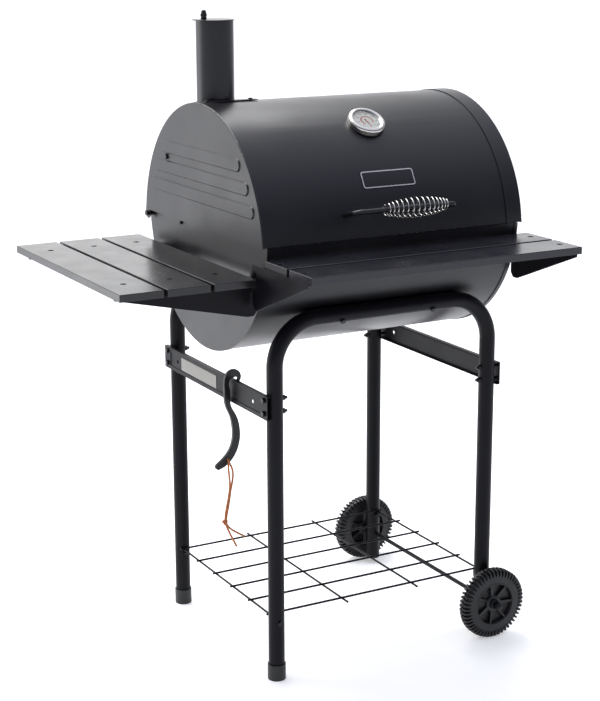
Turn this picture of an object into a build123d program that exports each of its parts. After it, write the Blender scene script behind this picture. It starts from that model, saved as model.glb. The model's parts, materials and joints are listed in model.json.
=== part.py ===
"""Barrel charcoal grill on a four-legged tube cart.

Millimetres, +Z up. The barrel lies along X and its handle faces -Y. While it is being
made, the model stands centred between its four legs; export moves it so that the origin
is under the middle of the whole grill, on the floor.
"""
import math
import os

from build123d import *

# ---------------------------------------------------------------- driving dimensions
SHEET = 1.5            # barrel, lid and bracket steel
FIT = 0.05             # radial running clearance of a pin in its hole
GAP = 0.5              # free gap between pieces that move past each other

# overall sizes of the barrel, which the cart and the shelves follow
BODY_R = 264.0
BODY_Z = 900.0
BODY_HALF = 281.0

# cart
LEG_X = BODY_HALF - 36.0
LEG_Y = BODY_R - 43.0
TUBE_R = 16.0
TUBE_WALL = 1.5
BEND_R = 90.0
RAIL_JOINT_X = -26.0
SPIGOT = 40.0
RAIL_BOLT_X = 103.0
FOOT_H = 33.0
FOOT_FLOOR = 5.0
FOOT_WALL = 2.2
WHEEL_LEG_Z = 16.0     # lower end of the legs that carry the wheels

# wheels
WHEEL_R = 75.0
WHEEL_W = 34.0
AXLE_R = 4.5
TREAD = 4.0
TREAD_BLOCKS = 44
BLOCK_W = 5.6
SPOKES = 7
HUB_R = 15.0
WASHER = 6.0

# crossbars
BAR_LOW = 541.0
BAR_H = 47.0
BAR_DEPTH = 8.0
BAR_HALF = LEG_Y + 14.0
BAR_HOLE_Y = LEG_Y - 49.0
BAR_HOLE_R = 4.0
BOLT_R = 3.0

# wire shelf
WIRE_R = 2.2
WIRE_SHELF_Z = 132.0
WIRE_SHELF_X = LEG_X + 4.0
LONG_WIRES = 6
CROSS_WIRES = 4
CROSS_PROUD = 20.0
LONG_PROUD = 8.0
SHELF_SCREW_DROP = 9.5

# barrel
BODY_TOP = BODY_Z - 20.5
BODY_RIM = 8.0
LID_R = BODY_R + 2.0
LID_Z = BODY_Z - 45.0
LID_HALF = BODY_HALF + 10.0
LID_EDGE = BODY_TOP + 1.5
LID_REAR_RISE = 18.0   # how far the lid's rear edge stays above the hinge axis
LID_BAND = 38.0
CORNER_R = 3.0
HINGE_Y = BODY_R - 10.0
HINGE_Z = BODY_Z - 28.0
HINGE_EAR_R = 11.0
RIB_H = 26.0
RIB_PITCH = 40.5
RIB_FIRST_Z = LID_Z + 86.0
RIB_INSET = 13.0
RIB_PROUD = 2.4
RIB_END_R = 12.0

# chimney
CHIMNEY_X = 63.0 - LID_HALF
CHIMNEY_Y = 51.0
CHIMNEY_R = 37.0
CHIMNEY_TOP = LID_Z + LID_R + 154.0
SADDLE_X = (CHIMNEY_X - 48.0, CHIMNEY_X + 66.0)
SADDLE_HALF_Y = 54.0
DAMPER_R = CHIMNEY_R + 4.5
DAMPER_PIVOT = 23.0
DAMPER_SHIFT = 3.0

# handle
HANDLE_X = (-111.0, 111.0)
HANDLE_Z = LID_Z + 82.0
HANDLE_OUT = 43.0
HANDLE_R = 5.0
HANDLE_BEND = 14.0
GRIP_X = (-50.0, 86.0)
GRIP_TURNS = 14
GRIP_WIRE = 1.1
GRIP_END_R = 10.0
GRIP_MID_R = 20.0

# thermometer and name plate
GAUGE_TILT = 32.6
GAUGE_R = 37.5
GAUGE_H = 13.0
DIAL_R = 26.0
DIAL_AT = 4.5          # height of the gauge's inner floor above the lid
GLASS_AT = 8.5
GLASS_T = 1.4
NEEDLE_ANGLE = -167.0  # cold needle, turned from the dial's top
PLATE_X = -3.0
PLATE_Z = LID_Z + 130.0
PLATE_W = 118.0
PLATE_H = 36.0
PLATE_T = 1.0

# shelves
SLAT_T = 14.0
SIDE_SLAT_W = 85.0
SIDE_SLAT_GAP = 7.5
SIDE_SLAT_L = 538.0
SIDE_TOP = BODY_Z - 74.0
SIDE_NEAR_X = -25.0 - BODY_HALF
SIDE_WEB_Y = BODY_R - 41.0
SIDE_SCREW_Y = SIDE_WEB_Y - 37.0
SIDE_WEB_H = 66.0
FRONT_SLAT_W = 84.0
FRONT_SLAT_GAP = 9.0
FRONT_SLAT_L = 2 * BODY_HALF + 26.0
FRONT_TOP = BODY_Z - 41.0
FRONT_NEAR_Y = -6.0 - BODY_R
FRONT_SHIFT = 5.0
FRONT_WEB_OUT = 12.0
FRONT_WEB_H = 82.0
FRONT_SCREW_X = BODY_HALF - 3.0
FRONT_BOLT_INSET = 9.0
BRACKET_TIP = 7.0
BRACKET_FLANGE = 46.0

# cooking gear
GRATE_Z = BODY_Z - 55.0
GRATE_HALF_X = BODY_HALF - 11.0
GRATE_HALF_Y = BODY_R - 18.0
GRATE_PITCH = 18.0
COAL_DEPTH = 0.65      # share of the barrel's radius that the charcoal lies below its axis
RACK_LID_Y = HINGE_Y - 102.0
RACK_LID_Z = HINGE_Z + 130.0
RACK_BODY_Y = HINGE_Y - 142.0
RACK_BODY_Z = HINGE_Z + 2.0
RACK_FRONT_Y = HINGE_Y - 294.0
RACK_REAR_Y = HINGE_Y - 78.0
RACK_SIDE_X = BODY_HALF - 19.0
RACK_STRIP = 2.5
RACK_STRIP_H = 12.0

# air damper
AIR_Z = BODY_Z - 0.66 * BODY_R
AIR_R = 46.0
AIR_HOLE_R = 10.0
AIR_HOLE_PCD = 27.0

# grate lifter
LIFTER_Y = -80.0
LIFTER_T = 7.0
LACE_R = 1.75
LACE_HOLE = (-279.0, 425.0)
KNOT = (-286.5, -80.5, 292.0)
HANG_BAR = (269.0, 588.0)   # outer face and top of the bar that the lifter is drawn on
KNOT_R = 6.5

# ---------------------------------------------------------------- worked-out values
TUBE_IN = TUBE_R - TUBE_WALL
RAIL_Z = BODY_Z - math.sqrt((BODY_R + TUBE_R) ** 2 - LEG_Y ** 2)
LEG_FACE_X = LEG_X + TUBE_R
LEG_FACE_Y = LEG_Y + TUBE_R
BAR_X = LEG_FACE_X + BAR_DEPTH
BAR_TOP = BAR_LOW + BAR_H
WHEEL_IN = LEG_FACE_Y + WASHER
WHEEL_OUT = WHEEL_IN + WHEEL_W
SHELF_Y = LEG_Y - TUBE_R - WIRE_R
SHELF_SCREW_Z = WIRE_SHELF_Z - SHELF_SCREW_DROP
LID_REAR_EDGE = HINGE_Z + LID_REAR_RISE
LID_OUT_R = LID_R + SHEET
SADDLE_R = LID_OUT_R + SHEET
BODY_IN = BODY_HALF - SHEET
LID_IN = LID_HALF - SHEET
COAL_Z = BODY_Z - COAL_DEPTH * BODY_R
COAL_HALF_Y = BODY_R * math.sqrt(1 - COAL_DEPTH ** 2) - 20.0
GLASS_R = DIAL_R + 1.0
LEG_STRIP_X = RACK_SIDE_X + RACK_STRIP + 3.0
RACK_JOIN_Y = RACK_LID_Y + RACK_BODY_Y - HINGE_Y
RACK_JOIN_Z = RACK_LID_Z + RACK_BODY_Z - HINGE_Z

nodes = {}


def rod(start, direction, radius, length):
    """Round bar from start along direction."""
    return extrude(Plane(origin=start, z_dir=direction) * Circle(radius), length)


def hexagon(start, direction, across_flats, height):
    """Nut or bolt head with its flat face at start."""
    outline = RegularPolygon(across_flats / 2, 6, major_radius=False)
    return extrude(Plane(origin=start, z_dir=direction) * outline, height)


def block(low, high):
    """Box between two corners."""
    size = [b - a for a, b in zip(low, high)]
    return Pos(*low) * Box(*size, align=(Align.MIN, Align.MIN, Align.MIN))


def along(start, direction, distance):
    """Point at a distance from start along direction."""
    length = math.sqrt(sum(c * c for c in direction))
    return tuple(s + c * distance / length for s, c in zip(start, direction))


def bolt(head_at, direction, grip, shank_r=BOLT_R, head_h=4.0, nut_h=5.0, extra=3.0):
    """Hex bolt with its nut: head outside head_at, nut after grip, shank through both."""
    back = tuple(-c for c in direction)
    head = hexagon(head_at, back, 3.3 * shank_r, head_h)
    shank = rod(head_at, direction, shank_r, grip + nut_h + extra)
    nut = hexagon(along(head_at, direction, grip), direction, 3.3 * shank_r, nut_h)
    return [head + shank, nut - shank]


def swept(path, radius):
    """Round section carried along a path."""
    return sweep(Plane(origin=path @ 0, z_dir=path % 0) * Circle(radius), path=path)


def profile_y(y_low, y_high, sketch):
    """XZ sketch extruded from y_low to y_high."""
    plane = Plane(origin=(0, y_high, 0), x_dir=(1, 0, 0), z_dir=(0, -1, 0))
    return extrude(plane * sketch, y_high - y_low)


def profile_x(x_low, x_high, sketch):
    """YZ sketch extruded from x_low to x_high."""
    plane = Plane(origin=(x_low, 0, 0), x_dir=(0, 1, 0), z_dir=(1, 0, 0))
    return extrude(plane * sketch, x_high - x_low)


def drum(radius, centre_z, x_low, x_high):
    """Cylinder lying along X."""
    return rod((x_low, 0, centre_z), (1, 0, 0), radius, x_high - x_low)


def add(name, *shapes):
    """Keep the named node's solids."""
    solids = []
    for shape in shapes:
        solids.extend(shape.solids())
    nodes[name] = solids


# ---------------------------------------------------------------- cart
def leg_and_rail(side, front):
    """One leg bent into its half of the rail. The left one carries the joining spigot."""
    y = -front * LEG_Y
    low = FOOT_FLOOR if side < 0 else WHEEL_LEG_Z
    points = [(side * LEG_X, y, low), (side * LEG_X, y, RAIL_Z), (RAIL_JOINT_X, y, RAIL_Z)]
    path = FilletPolyline(points, radius=BEND_R)
    shape = swept(path, TUBE_R) - swept(path, TUBE_IN)
    if side < 0:
        spigot_r = TUBE_IN - FIT
        spigot = rod((RAIL_JOINT_X - SPIGOT, y, RAIL_Z), (1, 0, 0), spigot_r, 2 * SPIGOT)
        core = rod((RAIL_JOINT_X - SPIGOT, y, RAIL_Z), (1, 0, 0), spigot_r - TUBE_WALL, 2 * SPIGOT)
        seat = rod((RAIL_JOINT_X - SPIGOT, y, RAIL_Z), (1, 0, 0), TUBE_IN, SPIGOT)
        shape += (spigot - core) + (seat - rod(seat_start(y), (1, 0, 0), spigot_r - TUBE_WALL, SPIGOT))
    for z in bar_bolt_heights():
        shape -= rod((side * (LEG_X - 2 * TUBE_R), y, z), (side, 0, 0), BOLT_R + FIT, 4 * TUBE_R)
    shape -= rod((side * LEG_X, y - 2 * TUBE_R, SHELF_SCREW_Z), (0, 1, 0), BOLT_R + FIT, 4 * TUBE_R)
    if side > 0:
        shape -= rod((LEG_X, y - 2 * TUBE_R, WHEEL_R), (0, 1, 0), AXLE_R + FIT, 4 * TUBE_R)
    start, direction = rail_bolt_line(side, front)
    return shape - rod(start, direction, BOLT_R + FIT, 3 * TUBE_R)


def seat_start(y):
    """Left end of the joint in a rail."""
    return (RAIL_JOINT_X - SPIGOT, y, RAIL_Z)


def bar_bolt_heights():
    """Heights of the two bolts at each crossbar end."""
    return (BAR_LOW + 0.24 * BAR_H, BAR_LOW + 0.8 * BAR_H)


def rail_bolt_line(side, front):
    """Start below the rail and direction into the barrel of one rail bolt."""
    direction = (0, front * LEG_Y, BODY_Z - RAIL_Z)
    centre = (side * RAIL_BOLT_X, -front * LEG_Y, RAIL_Z)
    return along(centre, direction, -TUBE_R), direction


for front in (1, -1):
    for side in (-1, 1):
        name = ("front" if front > 0 else "rear") + ("_left" if side < 0 else "_right") + "_leg"
        add(name, leg_and_rail(side, front))

caps = []
plugs = []
for front in (1, -1):
    y = -front * LEG_Y
    cup = rod((-LEG_X, y, 0), (0, 0, 1), TUBE_R + FOOT_WALL, FOOT_H)
    cup = fillet(cup.edges().group_by(Axis.Z)[0], 1.5)
    caps.append(cup - rod((-LEG_X, y, FOOT_FLOOR), (0, 0, 1), TUBE_R + FIT, FOOT_H))
    flange = rod((LEG_X, y, WHEEL_LEG_Z - 3), (0, 0, 1), TUBE_R, 3)
    plugs.append(flange + rod((LEG_X, y, WHEEL_LEG_Z), (0, 0, 1), TUBE_IN - FIT, 14))
add("foot_caps", *caps)
add("leg_plugs", *plugs)


def crossbar(side):
    """Pressed channel with a sunk panel and a round hole near each end."""
    web = block((side * BAR_X if side < 0 else BAR_X - SHEET, -BAR_HALF, BAR_LOW),
                (side * (BAR_X - SHEET) if side < 0 else BAR_X, BAR_HALF, BAR_TOP))
    x_low = -BAR_X if side < 0 else LEG_FACE_X
    lower = block((x_low, -BAR_HALF, BAR_LOW), (x_low + BAR_DEPTH, BAR_HALF, BAR_LOW + SHEET))
    upper = block((x_low, -BAR_HALF, BAR_TOP - SHEET), (x_low + BAR_DEPTH, BAR_HALF, BAR_TOP))
    bar = web + lower + upper
    panel = RectangleRounded(2 * (BAR_HALF - 28), BAR_H - 16, 4)
    plane = Plane(origin=(side * BAR_X, 0, BAR_LOW + BAR_H / 2), x_dir=(0, 1, 0), z_dir=(side, 0, 0))
    bar -= extrude(plane * panel, -1.2)
    pan = extrude(plane.offset(-1.2) * offset(panel, SHEET), -SHEET)
    bar += pan
    for y in (-BAR_HOLE_Y, BAR_HOLE_Y):
        bar -= rod((side * (BAR_X + 5), y, BAR_LOW + BAR_H / 2), (-side, 0, 0), BAR_HOLE_R, 20)
    for y in (-LEG_Y, LEG_Y):
        for z in bar_bolt_heights():
            bar -= rod((side * (BAR_X + 5), y, z), (-side, 0, 0), BOLT_R + FIT, 20)
    return bar


add("left_crossbar", crossbar(-1))
add("right_crossbar", crossbar(1))
frame_bolts = []
for side in (-1, 1):
    for y in (-LEG_Y, LEG_Y):
        for z in bar_bolt_heights():
            frame_bolts += bolt((side * BAR_X, y, z), (-side, 0, 0), BAR_DEPTH + 2 * TUBE_R, extra=5)

label_plane = Plane(origin=(-BAR_X + 1.2, 70, BAR_LOW + BAR_H / 2), x_dir=(0, 1, 0), z_dir=(-1, 0, 0))
add("blank_label", extrude(label_plane * RectangleRounded(166, 27, 2), 0.6))


def wire_shelf():
    """Welded wire grid with a drilled tab against each leg."""
    shape = None
    for i in range(LONG_WIRES):
        y = -SHELF_Y + 2 * SHELF_Y * i / (LONG_WIRES - 1)
        wire = rod((-WIRE_SHELF_X - LONG_PROUD, y, WIRE_SHELF_Z), (1, 0, 0), WIRE_R,
                   2 * (WIRE_SHELF_X + LONG_PROUD))
        shape = wire if shape is None else shape + wire
    for i in range(CROSS_WIRES):
        x = -WIRE_SHELF_X + 2 * WIRE_SHELF_X * i / (CROSS_WIRES - 1)
        reach = SHELF_Y if i in (0, CROSS_WIRES - 1) else SHELF_Y + CROSS_PROUD
        shape += rod((x, -reach, WIRE_SHELF_Z - WIRE_R), (0, 1, 0), WIRE_R, 2 * reach)
    for side in (-1, 1):
        for front in (-1, 1):
            y = sorted((front * (LEG_Y - TUBE_R), front * SHELF_Y))
            tab = block((side * LEG_X - 8, y[0], SHELF_SCREW_Z - 8),
                        (side * LEG_X + 8, y[1], WIRE_SHELF_Z + WIRE_R))
            shape += tab
            hole_start = (side * LEG_X, front * (SHELF_Y - 10), SHELF_SCREW_Z)
            shape -= rod(hole_start, (0, front, 0), BOLT_R + FIT, 20)
    return shape


add("wire_shelf", wire_shelf())
shelf_screws = []
for side in (-1, 1):
    for front in (-1, 1):
        head_at = (side * LEG_X, front * LEG_FACE_Y, SHELF_SCREW_Z)
        shelf_screws += bolt(head_at, (0, -front, 0), 2 * TUBE_R + WIRE_R)
add("shelf_screws", *shelf_screws)

for side in (-1, 1):
    for front in (-1, 1):
        start, direction = rail_bolt_line(side, front)
        frame_bolts += bolt(start, direction, 2 * TUBE_R + SHEET + 0.15)
add("frame_bolts", *frame_bolts)

# ---------------------------------------------------------------- axle and wheels
axle_end = WHEEL_OUT + 12
add("axle", rod((LEG_X, -axle_end, WHEEL_R), (0, 1, 0), AXLE_R, 2 * axle_end))


def wheel(front):
    """Moulded wheel: knobbly tread in two staggered rows, rim, spokes and hub."""
    inner = -front * WHEEL_IN
    plane = Plane(origin=(LEG_X, inner, WHEEL_R), x_dir=(1, 0, 0), z_dir=(0, -front, 0))
    rim_r = WHEEL_R - TREAD
    rim = extrude(plane * (Circle(rim_r) - Circle(rim_r - 17)), WHEEL_W)
    groove = extrude(plane.offset(WHEEL_W - 5) * (Circle(rim_r - 6) - Circle(rim_r - 11)), 5)
    inner_groove = extrude(plane * (Circle(rim_r - 6) - Circle(rim_r - 11)), 5)
    shape = rim - groove - inner_groove
    shape += extrude(plane.offset(2) * Circle(HUB_R), WHEEL_W - 4)
    shape += extrude(plane.offset(WHEEL_W / 2 - 3) * Circle(rim_r - 16), 4)
    for i in range(SPOKES):
        arm = Rot(0, 0, 360 * i / SPOKES) * Pos((rim_r - 16 + HUB_R - 4) / 2, 0)
        spoke = arm * Rectangle(rim_r - HUB_R - 10, 11)
        shape += extrude(plane.offset(6) * spoke, WHEEL_W - 12)
        window = Rot(0, 0, 360 * (i + 0.5) / SPOKES) * Pos(34, 0) * SlotCenterToCenter(14, 17)
        shape -= extrude(plane * window, WHEEL_W)
    for row in range(2):
        for i in range(TREAD_BLOCKS):
            angle = 360 * (i + 0.5 * row) / TREAD_BLOCKS
            knob = Rot(0, 0, angle) * Pos(rim_r + TREAD / 2 - 1, 0) * Rectangle(TREAD + 2, BLOCK_W)
            start = plane.offset(1 + row * WHEEL_W / 2)
            shape += extrude(start * knob, WHEEL_W / 2 - 2)
    shape = shape & extrude(plane * Circle(WHEEL_R), WHEEL_W)
    return shape - extrude(plane * Circle(AXLE_R + FIT), WHEEL_W)


add("front_wheel", wheel(1))
add("rear_wheel", wheel(-1))
hub_fittings = []
for front in (1, -1):
    for start in (LEG_FACE_Y, WHEEL_OUT + GAP):
        depth = WASHER - GAP if start == LEG_FACE_Y else 2
        washer = rod((LEG_X, -front * start, WHEEL_R), (0, -front, 0), 9, depth)
        hub_fittings.append(washer - rod((LEG_X, -axle_end, WHEEL_R), (0, 1, 0), AXLE_R, 2 * axle_end))
    nut_at = (LEG_X, -front * (WHEEL_OUT + GAP + 2), WHEEL_R)
    nut = hexagon(nut_at, (0, -front, 0), 17, 8)
    dome = Pos(LEG_X, -front * (WHEEL_OUT + GAP + 10), WHEEL_R) * Sphere(7)
    nut = nut + dome
    hub_fittings.append(nut - rod((LEG_X, -axle_end, WHEEL_R), (0, 1, 0), AXLE_R, 2 * axle_end))
add("hub_nuts", *hub_fittings)

# ---------------------------------------------------------------- barrel body
def above(z):
    """Everything above a height."""
    return block((-600, -600, z), (600, 600, z + 900))


def below(z, y_low=-600, y_high=600):
    """Everything below a height, between two depths."""
    return block((-600, y_low, z - 900), (600, y_high, z))


def body_end(side):
    """Dished end of the lower barrel, rim over the skin."""
    face = sorted((side * BODY_HALF, side * BODY_IN))
    rim = sorted((side * BODY_HALF, side * (BODY_HALF - BODY_RIM)))
    plate = drum(BODY_R + SHEET, BODY_Z, *rim) - drum(BODY_R, BODY_Z, *inset(rim, face))
    plate -= above(BODY_TOP)
    plate -= rod((side * BODY_IN - side * 9, HINGE_Y, HINGE_Z), (side, 0, 0), BOLT_R, 20)
    plate -= rod((side * BODY_IN - side * 9, RACK_BODY_Y, RACK_BODY_Z), (side, 0, 0), BOLT_R, 20)
    return plate


def inset(rim, face):
    """X range inside the rim, up to the end's inner face."""
    if rim[0] == face[0]:
        return face[1], rim[1]
    return rim[0], face[0]


body_shell = drum(BODY_R, BODY_Z, -BODY_IN, BODY_IN) - drum(BODY_R - SHEET, BODY_Z, -BODY_IN, BODY_IN)
body_shell -= above(BODY_TOP)
for side in (-1, 1):
    for front in (-1, 1):
        start, direction = rail_bolt_line(side, front)
        body_shell -= rod(start, direction, BOLT_R + FIT, 3 * TUBE_R)
add("body_shell", body_shell)


def bracket_bolt_points():
    """Bracket bolts on a body end: depth, height and spacer length."""
    points = []
    for y in (-(SIDE_WEB_Y - 16), SIDE_WEB_Y - 16):
        for z in (SIDE_TOP - SLAT_T - 14, SIDE_TOP - SLAT_T - 40):
            points.append((y, z, "side"))
    low_bolt_z = FRONT_TOP - SLAT_T - 46
    front_bolt_y = -math.sqrt((BODY_R - FRONT_BOLT_INSET) ** 2 - (BODY_Z - low_bolt_z) ** 2)
    for z in (FRONT_TOP - SLAT_T - 16, low_bolt_z):
        points.append((front_bolt_y, z, "front"))
    return points


left_end = body_end(-1)
right_end = body_end(1)
for y, z, kind in bracket_bolt_points():
    right_hole = rod((BODY_IN - 9, y, z), (1, 0, 0), BOLT_R, 20)
    left_hole = rod((-BODY_IN + 9, y, z), (-1, 0, 0), BOLT_R, 20)
    left_end -= left_hole
    if kind == "front":
        right_end -= right_hole
for i in range(4):
    angle = math.radians(45 + 90 * i)
    hole_at = (BODY_IN - 9, AIR_HOLE_PCD * math.cos(angle), AIR_Z + AIR_HOLE_PCD * math.sin(angle))
    right_end -= rod(hole_at, (1, 0, 0), AIR_HOLE_R, 20)
right_end -= rod((BODY_IN - 9, 0, AIR_Z), (1, 0, 0), BOLT_R, 20)
add("left_body_end", left_end)
add("right_body_end", right_end)

# ---------------------------------------------------------------- air damper
air_plane = Plane(origin=(BODY_HALF + GAP, 0, AIR_Z), x_dir=(0, 1, 0), z_dir=(1, 0, 0))
air_disc = Circle(AIR_R)
for i in range(4):
    angle = math.radians(45 + 90 * i)
    air_disc -= Pos(AIR_HOLE_PCD * math.cos(angle), AIR_HOLE_PCD * math.sin(angle)) * Circle(AIR_HOLE_R)
air_disc -= Circle(BOLT_R + FIT)
air_damper = extrude(air_plane * air_disc, SHEET)
air_damper += extrude(air_plane * Pos(0, AIR_R - 6) * Rectangle(16, 10), 14)
add("air_damper", air_damper)
air_bolt_at = (BODY_HALF + SHEET + 2 * GAP, 0, AIR_Z)
add("air_damper_bolt", *bolt(air_bolt_at, (-1, 0, 0), 2 * SHEET + 2 * GAP, nut_h=4))

# ---------------------------------------------------------------- shelves
def tapered_web(near, tip, top, height):
    """Bracket side outline: deep near the barrel, shallow at the tip, with a cut low corner."""
    out = 1 if tip > near else -1
    points = [(near, top), (tip, top), (tip, top - BRACKET_TIP), (near + out * 22, top - height),
              (near + out * 8, top - height), (near, top - height + 10)]
    return make_face(Polyline(*points, close=True))


def side_bracket(front):
    """Angle bracket under the side shelf, bolted to the left body end."""
    y = -front * SIDE_WEB_Y
    top = SIDE_TOP - SLAT_T
    tip = SIDE_NEAR_X - 3 * SIDE_SLAT_W - 2 * SIDE_SLAT_GAP + 8
    web_y = sorted((y, y + front * SHEET))
    web = profile_y(web_y[0], web_y[1], tapered_web(-BODY_HALF, tip, top, SIDE_WEB_H))
    inner = sorted((y, y + front * BRACKET_FLANGE))
    flange = block((tip, inner[0], top - SHEET), (-BODY_HALF - 3, inner[1], top))
    foot_y = sorted((y, y + front * 30))
    foot = block((-BODY_HALF - SHEET, foot_y[0], top - SIDE_WEB_H + 14), (-BODY_HALF, foot_y[1], top - 4))
    shape = web + flange + foot
    for by, bz, kind in bracket_bolt_points():
        if kind == "side":
            shape -= rod((-BODY_HALF + 5, by, bz), (-1, 0, 0), BOLT_R + FIT, 20)
    for x in side_slat_centres():
        shape -= rod((x, -front * SIDE_SCREW_Y, top - 10), (0, 0, 1), BOLT_R + FIT, 20)
    return shape


def side_slat_centres():
    """X of each side slat."""
    return [SIDE_NEAR_X - SIDE_SLAT_W / 2 - i * (SIDE_SLAT_W + SIDE_SLAT_GAP) for i in range(3)]


def slat(low, high, screws):
    """Board with softened edges and a counterbored screw hole at each screw."""
    board = block(low, high)
    board = chamfer(board.edges().group_by(Axis.Z)[-1], 1.0)
    for x, y in screws:
        board -= rod((x, y, low[2] - 1), (0, 0, 1), BOLT_R, 40)
        board -= rod((x, y, high[2] - 3.5), (0, 0, 1), 6.0, 10)
    return board


def slat_screw(x, y, top):
    """Round-head screw sunk in a slat, with its nut under the bracket flange."""
    head = rod((x, y, top - 3.5), (0, 0, 1), 5.2, 2.6)
    shank = rod((x, y, top - SLAT_T - SHEET - 8), (0, 0, 1), BOLT_R, SLAT_T + SHEET + 5)
    socket = extrude(Plane(origin=(x, y, top - 2.4)) * RegularPolygon(2.2, 6), 3)
    nut = hexagon((x, y, top - SLAT_T - SHEET), (0, 0, -1), 10, 5)
    return [head + shank - socket, nut - shank]


slat_screws = []
for i, x in enumerate(side_slat_centres()):
    holes = [(x, -SIDE_SCREW_Y), (x, SIDE_SCREW_Y)]
    low = (x - SIDE_SLAT_W / 2, -SIDE_SLAT_L / 2, SIDE_TOP - SLAT_T)
    high = (x + SIDE_SLAT_W / 2, SIDE_SLAT_L / 2, SIDE_TOP)
    add("side_slat_" + ("inner", "middle", "outer")[i], slat(low, high, holes))
    for hx, hy in holes:
        slat_screws += slat_screw(hx, hy, SIDE_TOP)
add("side_front_bracket", side_bracket(1))
add("side_rear_bracket", side_bracket(-1))


def front_bracket(side):
    """Angle bracket under the front shelf, held off the body end by spacers."""
    x = side * (BODY_HALF + FRONT_WEB_OUT)
    top = FRONT_TOP - SLAT_T
    near = -(SIDE_WEB_Y + 6)
    reach = -FRONT_NEAR_Y + 2 * FRONT_SLAT_W + FRONT_SLAT_GAP - 8
    x_range = sorted((x, x + side * SHEET))
    web = profile_x(x_range[0], x_range[1], tapered_web(near, -reach, top, FRONT_WEB_H))
    flange_x = sorted((x + side * SHEET, x - side * 32))
    flange = block((flange_x[0], -reach, top - SHEET), (flange_x[1], FRONT_NEAR_Y - 2, top))
    shape = web + flange
    for by, bz, kind in bracket_bolt_points():
        if kind == "front":
            shape -= rod((x - side * 5, by, bz), (side, 0, 0), BOLT_R + FIT, 20)
    for y in front_slat_centres():
        shape -= rod((side * FRONT_SCREW_X, y, top - 10), (0, 0, 1), BOLT_R + FIT, 20)
    return shape


def front_slat_centres():
    """Y of each front slat."""
    first = FRONT_NEAR_Y - FRONT_SLAT_W / 2
    return [first, first - FRONT_SLAT_W - FRONT_SLAT_GAP]


for i, y in enumerate(front_slat_centres()):
    holes = [(-FRONT_SCREW_X, y), (FRONT_SCREW_X, y)]
    low = (FRONT_SHIFT - FRONT_SLAT_L / 2, y - FRONT_SLAT_W / 2, FRONT_TOP - SLAT_T)
    high = (FRONT_SHIFT + FRONT_SLAT_L / 2, y + FRONT_SLAT_W / 2, FRONT_TOP)
    add("front_slat_" + ("inner", "outer")[i], slat(low, high, holes))
    for hx, hy in holes:
        slat_screws += slat_screw(hx, hy, FRONT_TOP)
add("front_left_bracket", front_bracket(-1))
add("front_right_bracket", front_bracket(1))
add("slat_screws", *slat_screws)

bracket_bolts = []
for y, z, kind in bracket_bolt_points():
    if kind == "side":
        bracket_bolts += bolt((-BODY_HALF - SHEET, y, z), (1, 0, 0), 2 * SHEET)
        continue
    for side in (-1, 1):
        outer = side * (BODY_HALF + FRONT_WEB_OUT + SHEET)
        bracket_bolts += bolt((outer, y, z), (-side, 0, 0), FRONT_WEB_OUT + 2 * SHEET)
        sleeve = rod((side * BODY_HALF, y, z), (side, 0, 0), 6, FRONT_WEB_OUT)
        bracket_bolts.append(sleeve - rod((side * BODY_IN, y, z), (side, 0, 0), BOLT_R, 40))
add("bracket_bolts", *bracket_bolts)

# ---------------------------------------------------------------- cooking gear
def grate(z, half_x, half_y, pitch, frame_r=3.0, bar_r=2.0):
    """Wire grate: a round-cornered loop of thick wire with thin bars welded on top of it."""
    loop = Plane(origin=(0, 0, z)) * RectangleRounded(2 * (half_x - frame_r), 2 * (half_y - frame_r), 20)
    shape = swept(loop.wire(), frame_r)
    count = int(2 * half_x / pitch)
    reach = half_y - frame_r
    for i in range(1, count):
        x = -half_x + 2 * half_x * i / count
        if abs(x) > half_x - 24:
            continue
        shape += rod((x, -reach, z + frame_r), (0, 1, 0), bar_r, 2 * reach)
    return shape


add("cooking_grate", grate(GRATE_Z, GRATE_HALF_X, GRATE_HALF_Y, GRATE_PITCH))
add("charcoal_grate", grate(COAL_Z, GRATE_HALF_X, COAL_HALF_Y, 2 * GRATE_PITCH))
supports = []
for side in (-1, 1):
    for y in (-1, 1):
        for z, share in ((GRATE_Z, 0.8 * GRATE_HALF_Y), (COAL_Z, 0.8 * COAL_HALF_Y)):
            pin_at = (side * BODY_IN, y * share, z - 3.0 - 4.0)
            supports.append(rod(pin_at, (-side, 0, 0), 4.0, BODY_IN - GRATE_HALF_X + 14))
add("grate_supports", *supports)


def side_strip(points, x, side, width):
    """Flat bar with round ends between two points in a plane square to X."""
    (y0, z0), (y1, z1) = points
    length = math.hypot(y1 - y0, z1 - z0)
    angle = math.degrees(math.atan2(z1 - z0, y1 - y0))
    outline = Pos((y0 + y1) / 2, (z0 + z1) / 2) * Rot(0, 0, angle) * SlotCenterToCenter(length, width)
    ends = sorted((side * x, side * (x + RACK_STRIP)))
    return profile_x(ends[0], ends[1], outline)


rack = None
for side in (-1, 1):
    ends = ((RACK_FRONT_Y + 6, RACK_LID_Z), (RACK_REAR_Y - 6, RACK_LID_Z))
    strip = side_strip(ends, RACK_SIDE_X, side, RACK_STRIP_H)
    strip += side_strip(((RACK_JOIN_Y - 1, RACK_JOIN_Z), (RACK_JOIN_Y + 1, RACK_JOIN_Z)),
                        RACK_SIDE_X, side, RACK_STRIP_H)
    for y, z, r in ((RACK_LID_Y, RACK_LID_Z, BOLT_R + FIT), (RACK_JOIN_Y, RACK_JOIN_Z, BOLT_R)):
        strip -= rod((side * (RACK_SIDE_X - 5), y, z), (side, 0, 0), r, 20)
    rack = strip if rack is None else rack + strip
wire_y = RACK_FRONT_Y + 6
while wire_y < RACK_REAR_Y - 4:
    if abs(wire_y - RACK_LID_Y) > 7 and abs(wire_y - RACK_JOIN_Y) > 7:
        rack += rod((-RACK_SIDE_X - 1, wire_y, RACK_LID_Z + 3.5), (1, 0, 0), 2.0, 2 * RACK_SIDE_X + 2)
    wire_y += GRATE_PITCH
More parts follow.
